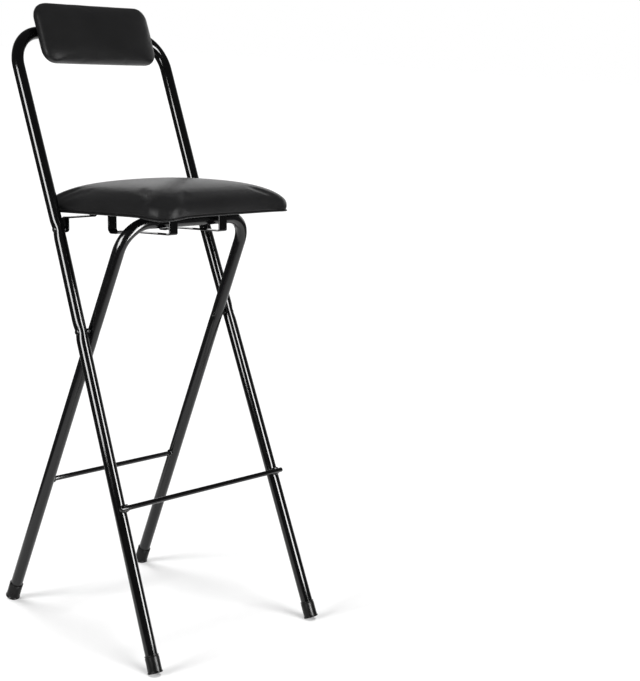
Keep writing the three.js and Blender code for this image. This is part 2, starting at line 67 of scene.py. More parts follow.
FRONT_FOOT, FRONT_TOP, SEAT_RISE = 601.7, 552.0, 186.0
FRONT_HALF, FRONT_FOOT_HALF, FRONT_FLARE_RISE = 176.3, 197.9, 167.0
FRONT_FLARE = (FRONT_FOOT_HALF - FRONT_HALF) / (FRONT_FOOT + FRONT_FLARE_RISE)

SCISSOR_GAP = 8.3  # clear space between a front and a rear leg at the bolt
REAR_SOLE_RISE = 3.64  # the rear cap leans, so the middle of its sole lies above the floor
REAR_TOP, REAR_FOOT_HALF = 208.6, 162.4
REAR_HALF = FRONT_HALF + FRONT_FLARE_RISE * FRONT_FLARE - 2 * TUBE - SCISSOR_GAP
REAR_FOOT = (SCISSOR[2] - REAR_SOLE_RISE) / math.cos(REAR_LEAN)
REAR_FLARE = (REAR_FOOT_HALF - REAR_HALF) / REAR_FOOT

SIDES = (("left", 1), ("right", -1))


def front_half(rise):
    """Half the width between the front legs: even above the knee, and wider by flare below it."""
    return FRONT_HALF + max(0.0, FRONT_FLARE_RISE - rise) * FRONT_FLARE


def rear_half(rise):
    """Half the width between the rear legs, which spread evenly towards the floor."""
    return REAR_HALF - rise * REAR_FLARE


print("half widths at the scissor bolts", round(front_half(0), 1), round(rear_half(0), 1), "mm")

# %% [markdown]
# ## Places
# A frame is bent flat on a bench and only leans once the stool is put together. So every piece
# is measured flat in its own plane, and one function for each plane leans it into place. Turning
# objects instead would slide the patterns of the materials when the model is exported.

# %% Places in the shared frame


def leaning(angle, origin):
    """A function that turns points (x, y, z) about X by an angle and moves them to an origin.
    y' = y cos a - z sin a and z' = y sin a + z cos a, then millimetres become metres."""
    c, s = math.cos(angle), math.sin(angle)

    def place(x, y, z):
        """Points of this plane, in millimetres, as rows in the shared frame, in metres."""
        x, y, z = np.broadcast_arrays(*(np.asarray(v, float) for v in (x, y, z)))
        turned = np.stack([x, y * c - z * s, y * s + z * c], axis=-1)
        return (turned + origin) * MM

    return place


on_front = leaning(-FRONT_LEAN, SCISSOR)
on_rear = leaning(REAR_LEAN, SCISSOR)
on_seat = leaning(-SEAT_TILT, on_front(0, 0, SEAT_RISE) / MM)
on_back = leaning(math.pi / 2 - FRONT_LEAN, on_front(0, -(TUBE + FIT), FRONT_TOP) / MM)
print("seat bolts at", (on_seat(0, 0, 0) / MM).round(1), "mm")

# %% [markdown]
# ## One way to make every surface
# Each piece is a grid of points over two parameters, and the grid becomes a mesh of quads. Where
# a row shrinks to one point, such as at the top of a dome, the doubles are merged, which closes
# the pole. Faces are then turned outwards, and edges sharper than an angle stay crisp.

# %% Grid to mesh


def in_scene(name, data):
    """A new object for a mesh, lamp or camera, linked to the scene."""
    made = bpy.data.objects.new(name, data)
    bpy.context.scene.collection.objects.link(made)
    return made


def surface(name, points, loop_rows=False, sharp=40):
    """A piece from points[i, j]: quads join each row to the next, and each row ends at its start.
    With loop_rows the last row joins the first as well."""
    rows, columns = points.shape[:2]
    i = np.arange(rows if loop_rows else rows - 1)[:, None]
    j = np.arange(columns)[None, :]
    i2, j2 = (i + 1) % rows, (j + 1) % columns
    corners = (i * columns + j, i * columns + j2, i2 * columns + j2, i2 * columns + j)
    quads = np.stack(corners, -1).reshape(-1, 4)
    mesh = bpy.data.meshes.new(name)
    mesh.from_pydata(points.reshape(-1, 3).tolist(), [], quads.tolist())
    work = bmesh.new()
    work.from_mesh(mesh)
    bmesh.ops.remove_doubles(work, verts=work.verts, dist=1e-7)
    bmesh.ops.recalc_face_normals(work, faces=work.faces)
    open_edges = sum(1 for edge in work.edges if len(edge.link_faces) != 2)
    if open_edges:
        print(name, "has", open_edges, "open edges")
    work.to_mesh(mesh)
    work.free()
    mesh.shade_smooth()
    mesh.set_sharp_from_angle(angle=math.radians(sharp))
    return in_scene(name, mesh)


def on_body(piece, body, *nodes):
    """Lets a piece stand for its CAD nodes and move with a body."""
    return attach(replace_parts(piece, *nodes) if nodes else piece, body)


# %% [markdown]
# ## Bent paths
# Tube benders, presses and upholsterers all turn a straight line round a radius. So one function
# takes sharp corners and rounds each with an arc, and tubes, straps, profiles and pads share it.

# %% Paths with rounded corners


def unit(v):
    """A vector divided by its length."""
    return v / np.linalg.norm(v)


def rounded(corners, radii, step, loop=False, gap=None):
    """A path through corners in a plane, each rounded by an arc that is tangent to both straights.
    An arc of radius r starts r * tan(turn / 2) before its corner. Returns points and tangents, with
    a step between the points of an arc and a gap between those of a straight."""
    corners = np.asarray(corners, float)
    count = len(corners)
    points, tangents = [], []
    if not loop:
        points.append(corners[:1])
        tangents.append(unit(corners[1] - corners[0])[None])
    for k in range(count if loop else count - 2):
        a, b, c = (corners[(k + n - loop) % count] for n in range(3))
        radius = radii[k]
        start, end = unit(b - a), unit(c - b)
        turn = math.atan2(start[0] * end[1] - start[1] * end[0], float(start @ end))
        back = radius * math.tan(abs(turn) / 2)
        side = np.array([-start[1], start[0]]) * math.copysign(1, turn)
        centre = b - start * back + side * radius
        pieces = max(2, int(abs(turn) * radius / step) + 1)
        swing = np.linspace(0, turn, pieces + 1)
        cs, sn = np.cos(swing), np.sin(swing)
        arm = -side * radius
        for origin, v, rows in ((centre, arm, points), (0, start, tangents)):
            rows.append(origin + np.stack([v[0] * cs - v[1] * sn, v[0] * sn + v[1] * cs], 1))
    if not loop:
        points.append(corners[-1:])
        tangents.append(unit(corners[-1] - corners[-2])[None])
    return spaced(np.concatenate(points), np.concatenate(tangents), gap or step, loop)


def spaced(points, tangents, step, loop):
    """Adds points to the long straights of a path, so that none is longer than a step."""
    if loop:
        points, tangents = np.vstack([points, points[:1]]), np.vstack([tangents, tangents[:1]])
    gaps = np.linalg.norm(np.diff(points, axis=0), axis=1)
    keep = np.concatenate([[True], gaps > 1e-9])
    points, tangents = points[keep], tangents[keep]
    gaps = np.linalg.norm(np.diff(points, axis=0), axis=1)
    parts = np.maximum(1, np.ceil(gaps / step).astype(int))
    index = np.concatenate([k + np.arange(n) / n for k, n in enumerate(parts)] + [[len(gaps)]])
    known = np.arange(len(points))
    if loop:
        index = index[:-1]
    points, tangents = (
        np.stack([np.interp(index, known, rows[:, d]) for d in range(2)], 1)
        for rows in (points, tangents)
    )
    return points, tangents / np.linalg.norm(tangents, axis=1, keepdims=True)


def along(path, tangents, across, out):
    """Carries a section along a path in a plane: path + across * normal in the plane, with out
    perpendicular to it. The normal is the tangent turned a quarter to the left."""
    normal = np.stack([-tangents[:, 1], tangents[:, 0]], 1)
    a = path[:, 0, None] + normal[:, 0, None] * across
    b = path[:, 1, None] + normal[:, 1, None] * across
    return a, b, np.broadcast_to(out, a.shape)


quarter_turn, _ = rounded([(0, 0), (0, 100), (100, 100)], [65], 5.0)
print("a right-angled path with a 65 mm bend has", len(quarter_turn), "points")

# %% [markdown]
# ## Tubes
# A real frame is one straight tube bent cold round a die. Its surface is a circle carried along
# the bent path, and its bore is a smaller circle carried back, so the wall has a real thickness
# at the open ends inside the caps. The tube is pressed in a little where a bolt or a bar meets
# it, and that dimple bends the long reflections. A dimple is part of the formula, because a dent
# cut in later would break the even rows of points.

# %% Tubes with dimples
AROUND = 56


def tube(name, corners, radii, dimples, place, step=5.0):
    """P(s, a) = path(s) + r(s, a) * (cos a * normal + sin a * y), with r = R less the dimples.
    Each dimple is depth * exp(-(ds / length)^2 - (da / spread)^2) about its place and angle."""
    path, tangents = rounded(corners, radii, step)
    angle = np.linspace(0, 2 * np.pi, AROUND, endpoint=False)[None, :]
    radius = np.full((len(path), AROUND), TUBE)
    for x, z, facing, depth, length, spread in dimples:
        far = np.hypot(path[:, 0] - x, path[:, 1] - z)[:, None]
        off = np.angle(np.exp(1j * (angle - facing)))
        radius = radius - depth * np.exp(-((far / length) ** 2) - (off / spread) ** 2)
    outer, bore = (
        np.stack(along(path, tangents, r * np.cos(angle), r * np.sin(angle)), -1)
        for r in (radius, radius - WALL)
    )
    shell = np.concatenate([outer, bore[::-1]])
    print(name, len(path), "rings")
    return surface(name, place(shell[..., 0], shell[..., 2], shell[..., 1]), loop_rows=True)


print("each tube has", 2 * AROUND, "points to a ring, outside and bore")

# %% [markdown]
# ### The two tube frames
# The front frame runs from foot to foot over the top, with a slight knee where the legs start to
# spread and two tight bends at the backrest. The rear frame is a shorter arch whose top carries
# the seat. The front tube has a deep dimple on the outside at each pivot and a shallow one where
# its foot bar is welded, and the rear tube has one on the inside at each scissor bolt.

# %% Front and rear tube
CAP_FLOOR = 4.0  # thickness of a rubber cap's sole
FRONT_BAR, REAR_BAR = -317.6, -320.0  # heights of the foot bars along their frames
KNEE_BEND, HOOP_BEND, REAR_BEND = 400, 65, 53
OUTSIDE, INSIDE, AHEAD = np.pi, 0.0, -np.pi / 2  # where a dimple faces, as an angle of the ring
# Depth, length along the tube and spread round it in radians
PIVOT_DIMPLE, BAR_DIMPLE, COLLAR_DIMPLE = (2.8, 9.5, 1.1), (0.7, 7, 0.6), (1.0, 8, 0.75)


def mirrored(half):
    """A path's corners (x, z) from one end to the middle, followed by their mirror image."""
    return half + [(-x, z) for x, z in half[::-1]]


front_end = CAP_FLOOR + FIT - FRONT_FOOT
front_corners = mirrored(
    [(front_half(front_end), front_end), (FRONT_HALF, FRONT_FLARE_RISE), (FRONT_HALF, FRONT_TOP)]
)
front_dimples = [
    (side * front_half(rise), rise, facing, *shape)
    for _, side in SIDES
    for rise, facing, shape in (
        (0, OUTSIDE, PIVOT_DIMPLE),
        (SEAT_RISE, OUTSIDE, PIVOT_DIMPLE),
        (FRONT_BAR, AHEAD, BAR_DIMPLE),
    )
]
front_bends = [KNEE_BEND, HOOP_BEND, HOOP_BEND, KNEE_BEND]
front_tube = tube("front_tube", front_corners, front_bends, front_dimples, on_front)

rear_end = CAP_FLOOR + FIT - REAR_FOOT
rear_corners = mirrored([(rear_half(rear_end), rear_end), (rear_half(REAR_TOP), REAR_TOP)])
rear_dimples = [(side * rear_half(0), 0, INSIDE, *COLLAR_DIMPLE) for _, side in SIDES]
rear_tube = tube("rear_tube", rear_corners, [REAR_BEND] * 2, rear_dimples, on_rear)
on_body(front_tube, "front", "front_frame")
on_body(rear_tube, "rear", "rear_frame")

# %% [markdown]
# ## Turned pieces
# Bolts, nuts, spacers, bars and caps are all round, so each is a profile of radius and height
# spun about an axis. The profile's corners are rounded a little first, because a real edge is
# never knife sharp and its small highlight shows the eye where a piece ends.

# %% Profiles spun about an axis


def spun(name, corners, radii, place, base, axis, step=0.5, loop=False, sides=48):
    """P(s, a) = base + h(s) * axis + r(s) * (cos a * u + sin a * v), u and v square to the axis."""
    profile, _ = rounded(corners, radii, step, loop, gap=60)
    angle = np.linspace(0, 2 * np.pi, sides, endpoint=False)[None, :]
    axis = unit(np.asarray(axis, float))
    u = unit(np.cross(axis, (0, 1, 0) if abs(axis[1]) < 0.9 else (1, 0, 0)))
    v = np.cross(axis, u)
    radius, height = np.maximum(profile[:, 0, None], 0), profile[:, 1, None]
    round_about = [np.cos(angle) * u[d] + np.sin(angle) * v[d] for d in range(3)]
    spots = [base[d] + height * axis[d] + radius * round_about[d] for d in range(3)]
    return surface(name, place(*spots), loop_rows=loop, sharp=50)


flatness = TUBE * (1 - math.cos(math.pi / 48))
print("48 sides of a", TUBE, "mm radius leave a true circle by", round(flatness, 3), "mm")

# %% [markdown]
# ### Bolts, nuts and collars
# A pivot is a button-head bolt through both tubes with a collar that keeps them apart and a domed
# nut inside. Screws and bolts that only hold have a plain dome. All are turned steel, and each is
# spun from its own profile, so that the shank, the bore and the socket are really there.

# %% Heads, nuts and collars
dome_angles = np.linspace(0, np.pi / 2, 7)[:-1]


def oval(radius, foot, rise, angles):
    """Points of a quarter oval from its rim inwards: (r cos a, foot + (rise - foot) sin a)."""
    return [(radius * math.cos(a), foot + (rise - foot) * math.sin(a)) for a in angles]


def dome_bolt(name, head, rise, shank, length, place, base, axis):
    """A dome-head bolt: the dome is an oval over the head's rim, with the shank behind it."""
    corners = [(0, -length), (shank, -length), (shank, 0), (head, 0)]
    corners += [*oval(head, 0.5, rise, dome_angles), (0, rise)]
    return spun(name, corners, [0.4, 0.05, 0.25] + [0.3] * len(dome_angles), place, base, axis)


def socket_bolt(name, head, rise, shank, length, place, base, axis):
    """A button-head bolt: an oval dome that stops at the rim of a round socket."""
    dome = oval(head, 0.5, rise, np.linspace(0, math.radians(66), 8))
    corners = [(0, -length), (shank, -length), (shank, 0), (head, 0)]
    corners += [*dome, (0.36 * head, 0.8), (0, 0.8)]
    radii = [0.4, 0.05, 0.25] + [0.3] * len(dome) + [0.2]
    return spun(name, corners, radii, place, base, axis, step=0.3)


def domed_nut(name, radius, rise, bore, depth, place, base, axis):
    """A nut closed by an oval dome, with a blind bore of the given depth from below."""
    corners = [(0, depth), (bore, depth), (bore, 0), (radius, 0)]
    corners += [*oval(radius, 0.7, rise, dome_angles), (0, rise)]
    return spun(name, corners, [0.1, 0.1, 0.3] + [0.3] * len(dome_angles), place, base, axis)


def collar(name, bore, radius, length, place, base, axis):
    """A short tube: a rectangle from bore to radius, spun as a closed loop."""
    corners = [(bore, 0), (radius, 0), (radius, length), (bore, length)]
    return spun(name, corners, [0.2, 0.6, 0.6, 0.2], place, base, axis, loop=True)


print("a dome has", len(dome_angles), "rings and its tip")

# %% [markdown]
# ### The four pivots
# The scissor bolts join front and rear legs, and the seat bolts carry the ears of the hinge
# strap. Each head sits in the dimple of its leg, and each collar fills the gap between the two
# pieces that turn on the bolt, less the clearance on both sides.

# %% Pivots of the legs and of the seat
SHANK = 3.0
DIMPLE = 2.9  # how deep a head or a nut sits in the pressed tube
HEAD, HEAD_RISE = 5.2, 2.8
NUT, NUT_RISE, NUT_DEPTH = 5.0, 3.4, 2.2
COLLAR, BORE = 4.5, 3.3
THREAD_IN_NUT = 1.9
EAR = 2.5  # thickness of the hinge strap, whose turned-down ends are the ears
EAR_GAP = 5.5
EAR_OUTER = FRONT_HALF - TUBE - EAR_GAP
hardware = []
for name, side in SIDES:
    outwards, inwards = (side, 0, 0), (-side, 0, 0)
    for joint, rise, leg_half, collar_at, gap, nut_at in (
        ("scissor", 0, front_half(0), REAR_HALF + TUBE, SCISSOR_GAP, REAR_HALF - TUBE + DIMPLE),
        ("seat", SEAT_RISE, FRONT_HALF, EAR_OUTER, EAR_GAP, EAR_OUTER - EAR),
    ):
        head_at, nut_at = leg_half + TUBE + FIT - DIMPLE, nut_at - FIT
        label = f"{name}_{joint}"
        pin = socket_bolt(
            f"{label}_pin", HEAD, HEAD_RISE, SHANK, head_at - nut_at + THREAD_IN_NUT,
            on_front, (side * head_at, 0, rise), outwards,
        )
        ring = collar(
            f"{label}_collar", BORE, COLLAR, gap - 2 * FIT,
            on_front, (side * (collar_at + FIT), 0, rise), outwards,
        )
        nut = domed_nut(
            f"{label}_dome", NUT, NUT_RISE, BORE, NUT_DEPTH,
            on_front, (side * nut_at, 0, rise), inwards,
        )
        for piece, node in ((pin, "bolt"), (ring, "spacer"), (nut, "nut")):
            hardware.append(on_body(piece, "front", f"{label}_{node}"))
print(len(hardware), "pins, collars and nuts")

# %% [markdown]
# ## Foot bars
# Both bars are plain 9 mm rod. The front one lies across the front of the legs, with softened
# ends that show, and the rear one is cut to fit between its legs.

# %% Foot bars
BAR = 4.5


def foot_bar(name, half, edge, place, base):
    """A rod along X: the profile runs from (0, -half) to (0, half) at a radius R between them,
    and each end has a rounded edge."""
    corners = [(0, -half), (BAR, -half), (BAR, half), (0, half)]
    return spun(name, corners, [edge, edge], place, base, (1, 0, 0), step=1.0)


ahead_of_legs = (0, -(TUBE + FIT + BAR), FRONT_BAR)
front_bar = foot_bar("front_bar", front_half(FRONT_BAR) + TUBE, 1.6, on_front, ahead_of_legs)
between_legs = rear_half(REAR_BAR + BAR) - TUBE - FIT
rear_bar = foot_bar("rear_bar", between_legs, 0.6, on_rear, (0, 0, REAR_BAR))
on_body(front_bar, "front", "front_foot_bar")
on_body(rear_bar, "rear", "rear_foot_bar")
print("foot bars", [round(piece.dimensions.x / MM) for piece in (front_bar, rear_bar)], "mm long")

# %% [markdown]
# ### Weld beads
# A welder lays a short row of overlapping puddles of molten steel, so a bead's thickness rises
# and falls as it goes along. The rear bar is welded all round, the front one above and below each
# leg. The ripples are in the shape, because bump alone wouldn't show in the outline.

# %% Weld beads


def bead_ring(name, centre, ring, thickness, puddles, place):
    """A lumpy torus about X: ring radius R and bead radius t * (0.9 + 0.22 |sin(n a / 2)|)."""
    a = np.linspace(0, 2 * np.pi, 96, endpoint=False)[:, None]
    b = np.linspace(0, 2 * np.pi, 16, endpoint=False)[None, :]
    t = thickness * (0.9 + 0.22 * np.abs(np.sin(puddles * a / 2)))
    out = ring + t * np.cos(b)
    x = centre[0] + t * np.sin(b) + 0 * a
    points = place(x, centre[1] + out * np.cos(a), centre[2] + out * np.sin(a))
    return surface(name, points, loop_rows=True)


def bead_seam(name, centre, long, high, deep, puddles, place):
    """A bead along X: an ellipsoid whose section is swelled by 1 + 0.13 cos(2 n a + sin(b + n))
    + 0.07 cos(7 a + 3 b), with a along the bead and b round it."""
    a = np.linspace(0, np.pi, 49)[:, None]
    b = np.linspace(0, 2 * np.pi, 32, endpoint=False)[None, :]
    ripple = 1 + 0.13 * np.cos(puddles * a * 2 + np.sin(b + puddles)) + 0.07 * np.cos(7 * a + 3 * b)
    x = centre[0] + long * np.cos(a) + 0 * b
    y = centre[1] + deep * np.sin(a) * ripple * np.cos(b)
    z = centre[2] + high * np.sin(a) * ripple * np.sin(b)
    return surface(name, place(x, y, z))


SEAM = (9.0, 3.3, 3.7)  # half length, height and depth
SEAM_IN, SEAM_AHEAD, SEAM_UP = 2.0, 11.9, 3.9
RING, RING_THICKNESS, RING_PUDDLES, RING_IN = 4.7, 2.4, 5, 0.2
welds = []
for name, side in SIDES:
    x = side * (front_half(FRONT_BAR) - SEAM_IN)
    for word, up in (("upper", 1), ("lower", -1)):
        centre = (x, -SEAM_AHEAD, FRONT_BAR + up * SEAM_UP)
        seam = bead_seam(f"{name}_front_weld_{word}", centre, *SEAM, 3 + up, on_front)
        welds.append(on_body(seam, "front"))
    centre = (side * (rear_half(REAR_BAR) - TUBE - RING_IN), 0, REAR_BAR)
    sizes = (RING, RING_THICKNESS, RING_PUDDLES)
    ring = bead_ring(f"{name}_rear_weld", centre, *sizes, on_rear)
    welds.append(on_body(ring, "rear"))
print(len(welds), "weld beads")

# %% [markdown]
# ## Foot caps
# A rubber cap is moulded in one piece: a rim at the sole, a straight sleeve, a groove and a soft
# lip at the top. Each stands on the floor on the small flat that wear gives it, so the points of
# the leaning sole that would lie below the floor are lifted to it.

# %% Foot caps
CAP_PROFILE = [
    (0, 0), (13.4, 0), (13.4, 2.6), (12.55, 3.4), (12.55, 27.6), (11.8, 28.0), (11.8, 29.2),
    (12.75, 29.6), (12.75, 31), (11.3, 31), (11.3, CAP_FLOOR), (0, CAP_FLOOR),
]
CAP_EDGES = [0.7, 0.5, 0.4, 0.15, 0.15, 0.15, 0.2, 0.5, 0.1, 0.1]


def points_of(piece):
    """All points of a piece's mesh as rows of x, y and z in metres."""
    spots = np.empty(len(piece.data.vertices) * 3)
    piece.data.vertices.foreach_get("co", spots)
    return spots.reshape(-1, 3)


def move_points(piece, spots):
    """Gives all points of a piece's mesh new places."""
    piece.data.vertices.foreach_set("co", spots.ravel())
    piece.data.update()


caps = []
for name, side in SIDES:
    for end, half, foot, flare, place in (
        ("front", FRONT_FOOT_HALF, FRONT_FOOT, FRONT_FLARE, on_front),
        ("rear", REAR_FOOT_HALF, REAR_FOOT, REAR_FLARE, on_rear),
    ):
        axis = (-side * math.sin(math.atan(flare)), 0, math.cos(math.atan(flare)))
        cap = spun(
            f"{name}_{end}_cap", CAP_PROFILE, CAP_EDGES, place, (side * half, 0, -foot), axis,
            step=0.4, sides=64,
        )
        move_points(cap, np.maximum(points_of(cap), (-np.inf, -np.inf, 0.0)))
        caps.append(on_body(cap, end, f"{name}_{end}_foot_cap"))
print(len(caps), "foot caps")

# %% [markdown]
# ## Flat straps
# The stirrups, the hinge strap and the tab are flat steel bent in a press. A press leaves a small
# radius inside each bend, so a thin rounded section is carried along a path with rounded corners.
# An end that is cut round narrows as a circle does.

# %% Flat steel along a path


def strap_section(width, thickness, corner):
    """A thin rounded rectangle: its points across the thickness, and out along the width."""
    w, t = width / 2, thickness / 2
    step = max(0.3, width / 12)
    points, _ = rounded([(-t, -w), (t, -w), (t, w), (-t, w)], [corner] * 4, step, loop=True)
    return points[:, 0], points[:, 1]


def strap(name, corners, radii, size, to_place, loop=False, round_ends=0.0, corner=0.5):
    """P(s, q) = path(s) + section(q), the section being size = (width, thickness). Near a rounded
    end the width shrinks by E / (W / 2) * (1 - sqrt(1 - (1 - s / E)^2)) for an end E long."""
    path, tangents = rounded(corners, radii, 1.2, loop)
    across, out = strap_section(*size, corner)
    share = np.ones(len(path))
    if round_ends:
        length = np.concatenate([[0], np.cumsum(np.linalg.norm(np.diff(path, axis=0), axis=1))])
        near = np.minimum(length, length[-1] - length)
        inside = np.clip(1 - near / round_ends, 0, 1)
        share = 1 - (round_ends / (size[0] / 2)) * (1 - np.sqrt(1 - inside**2))
    a, b, w = along(path, tangents, across[None, :], out[None, :])
    points = to_place(a, b, w * share[:, None])
    if not loop:
        ends = [row.mean(axis=1, keepdims=True) + 0 * row for row in (points[:1], points[-1:])]
        points = np.concatenate([ends[0], points, ends[1]])
    print(name, len(path), "sections")
    return surface(name, points, loop_rows=loop, sharp=50)


print("the section of a 20 mm strap has", len(strap_section(20, 2, 0.5)[0]), "points")

# %% [markdown]
# ### Stirrups
# Two closed straps hang under the seat board, and the top of the rear arch slides inside them as
# the stool folds. The space inside follows from where that tube lies. The bottom dips a little
# near the hinge, where the tube comes to rest in the folded stool. The model's seat follows the
# rear frame at one constant ratio, which is right at both limits only, so in between the tube
# crosses the bottom of the straps.

# %% Stirrups
ahead = REAR_TOP * math.sin(REAR_LEAN) + SEAT_RISE * math.sin(FRONT_LEAN)
above = REAR_TOP * math.cos(REAR_LEAN) - SEAT_RISE * math.cos(FRONT_LEAN)
TUBE_ABOVE = above * math.cos(SEAT_TILT) - ahead * math.sin(SEAT_TILT)
STRAP = 2.0
STIRRUP_TOP = TUBE_ABOVE + TUBE + FIT + STRAP
SEAT_BOTTOM = STIRRUP_TOP + FIT
STIRRUP_AT, STIRRUP_WIDTH = 60.2, 20.5
straps = []
for name, side in SIDES:
    # The path runs along the middle of the strap, front at -Y
    low, high, rear, front, dip = -7.5, STIRRUP_TOP - STRAP / 2, -9.2, -171.0, -12.4
    corners = [
        (rear, -6.5), (rear, high), (front, high), (front, low), (-37, low), (-30.7, dip),
        (-14.5, dip),
    ]
    loop = strap(
        f"{name}_stirrup_loop", corners, [3, 1.6, 1.6, 3.2, 3.5, 3.5, 3.5], (STIRRUP_WIDTH, STRAP),
        lambda a, b, w, x=side * STIRRUP_AT: on_seat(x + w, a, b), loop=True, corner=0.9,
    )
    straps.append(on_body(loop, "seat", f"{name}_stirrup"))

# %% [markdown]
# ### Hinge strap
# One flat bar carries the rear of the seat board. Near each end it steps down, runs out to the
# legs and turns down into a round-ended ear on the seat bolt. Three screws hold it to the board.

# %% Hinge strap and its ears
HINGE_WIDTH, HINGE_OVERHANG, HINGE_STEP, EAR_END = 18, 8.2, 6.6, -6.5
strap_top = SEAT_BOTTOM - FIT
mid_high = strap_top - EAR / 2
mid_low, ear_mid = mid_high - HINGE_STEP, EAR_OUTER - EAR / 2
strap_y = HINGE_WIDTH / 2 - (HINGE_OVERHANG - FIT)
hinge_bar = strap(
    "hinge_bar", mirrored([(ear_mid, EAR_END), (ear_mid, mid_low), (97, mid_low), (92, mid_high)]),
    [2.2, 2.5, 2.5, 2.5, 2.5, 2.2], (HINGE_WIDTH, EAR),
    lambda a, b, w: on_seat(a, strap_y + w, b), round_ends=7,
)
straps.append(on_body(hinge_bar, "seat", "seat_hinge_strap"))
fixings = []
for k, x in enumerate((-62, 0, 62), 1):
    base = (x, strap_y, strap_top - EAR - FIT)
    screw = dome_bolt(f"hinge_bar_fixing_{k}", 4.0, 2.2, 2.0, 7.6, on_seat, base, (0, 0, -1))
    fixings.append(on_body(screw, "seat", f"hinge_strap_screw_{k}"))
print(len(fixings), "screws under the seat")

# %% [markdown]
# ### Back of the backrest
# Two bright bolts run through the top tube into the backrest's board. Under the tube a small tab
# is screwed to the board, which probably keeps the backrest from turning on the tube.

# %% Tab and bolts on the back of the backrest
TAB_MIDDLE = FIT + STRAP / 2
lug = strap(
    "backrest_lug", [(-TAB_MIDDLE, z) for z in (-7.0, -20.0, -38.0)], [50], (22, STRAP),
    lambda a, b, w: on_back(w, b, a), round_ends=5,
)
straps.append(on_body(lug, "front", "backrest_tab"))
bright = []
BOLT, SCREW = (5.0, 4.0, 3.0, 26.6), (4.0, 2.2, 2.0, 6.6)  # head, rise, shank and length
behind_tube = -2 * (TUBE + FIT)
for label, node, sizes, base in (
    ("left_backrest_fixing", "left_backrest_bolt", BOLT, (81.7, 0, behind_tube)),
    ("right_backrest_fixing", "right_backrest_bolt", BOLT, (-81.7, 0, behind_tube)),
    ("backrest_lug_fixing", "backrest_tab_screw", SCREW, (0, -25.8, -(2 * FIT + STRAP))),
):
    bolt = dome_bolt(label, *sizes, on_back, base, (0, 0, -1))
    bright.append(on_body(bolt, "front", node))
print(len(bright), "bright fixings")

# %% [markdown]
# ## Cushions
# Each pad is foam on a board, with vinyl pulled over it and turned under the edge. Its shape is a
# rounded rectangle whose rings shrink towards the crown. A cloth simulation then lets the cover
# swell under pressure, which gives the sides and the crown a filled, slightly uneven form.

# %% Cushion form


def rounded_outline(half, front, rear, front_corner, rear_corner, inset):
    """Points and tangents of a rounded rectangle: corners as arcs, sides in even steps."""
    x, y = np.array([(half, -front), (half, rear), (-half, rear), (-half, -front)]).T
    shrunk = np.stack([x - inset * np.sign(x), y - inset * np.sign(y - (rear - front) / 2)], 1)
    radii = [max(1.0, r - inset) for r in (front_corner, rear_corner, rear_corner, front_corner)]
    return rounded(shrunk, radii, 4.0, loop=True)


def pad(name, plan, base, side_height, crown, power, lip, place):
    """P(u, v) = middle + spread(v) * (edge(u) turning into an ellipse), at height h(v). With c and
    s the cosine and sine of v, spread = c^(2/p) and h = side + (crown - side) * s^(2/p)."""
    edge, _ = rounded_outline(*plan, 0)
    half, front, rear = plan[:3]
    middle = np.array([0, (rear - front) / 2])
    reach = np.array([half, (rear + front) / 2])
    direction = (edge - middle) / reach
    ellipse = middle + reach * direction / np.linalg.norm(direction, axis=1, keepdims=True)
    under = middle + (edge - middle) * (1 - lip / reach)
    levels = [(middle + (under - middle) * s, base) for s in (0, 0.3, 0.6, 0.9, 1)]
    for t in np.linspace(0, 1, 6)[1:]:
        out = under + (edge - under) * math.sin(t * math.pi / 2)
        levels.append((out, base + (side_height - base) * t))
    for v in np.linspace(0, np.pi / 2, 26)[1:]:
        spread = max(math.cos(v), 0) ** (2 / power)
        height = side_height + (crown - side_height) * math.sin(v) ** (2 / power)
        levels.append((middle + spread * (edge + (ellipse - edge) * (1 - spread) - middle), height))
    rings = np.array([np.column_stack([ring, np.full(len(edge), z)]) for ring, z in levels])
    print(name, len(rings), "rings of", len(edge), "points")
    return surface(name, place(rings[..., 0], rings[..., 1], rings[..., 2]), sharp=180)


square, _ = rounded_outline(100, 100, 100, 30, 30, 0)
print("the outline of a pad 200 mm square would have", len(square), "points")

# %% [markdown]
# ### The cover under pressure
# Foam pushes the cover out from inside, and the cover's own tightness holds it back. Cloth with
# an inside pressure does the same, so the pad is remeshed evenly and let swell while its base is
# held. How far any point may move is capped, so that the pad keeps the size of its board. The
# lumps that a short simulation leaves are then smoothed.

# %% Cloth simulation


def local(spots, place):
    """Points in metres as a piece's own millimetres: the inverse of its place function."""
    origin = place(0, 0, 0)
    axes = np.stack([place(*axis) - origin for axis in np.eye(3)]) / MM
    return (spots - origin) @ axes.T / MM


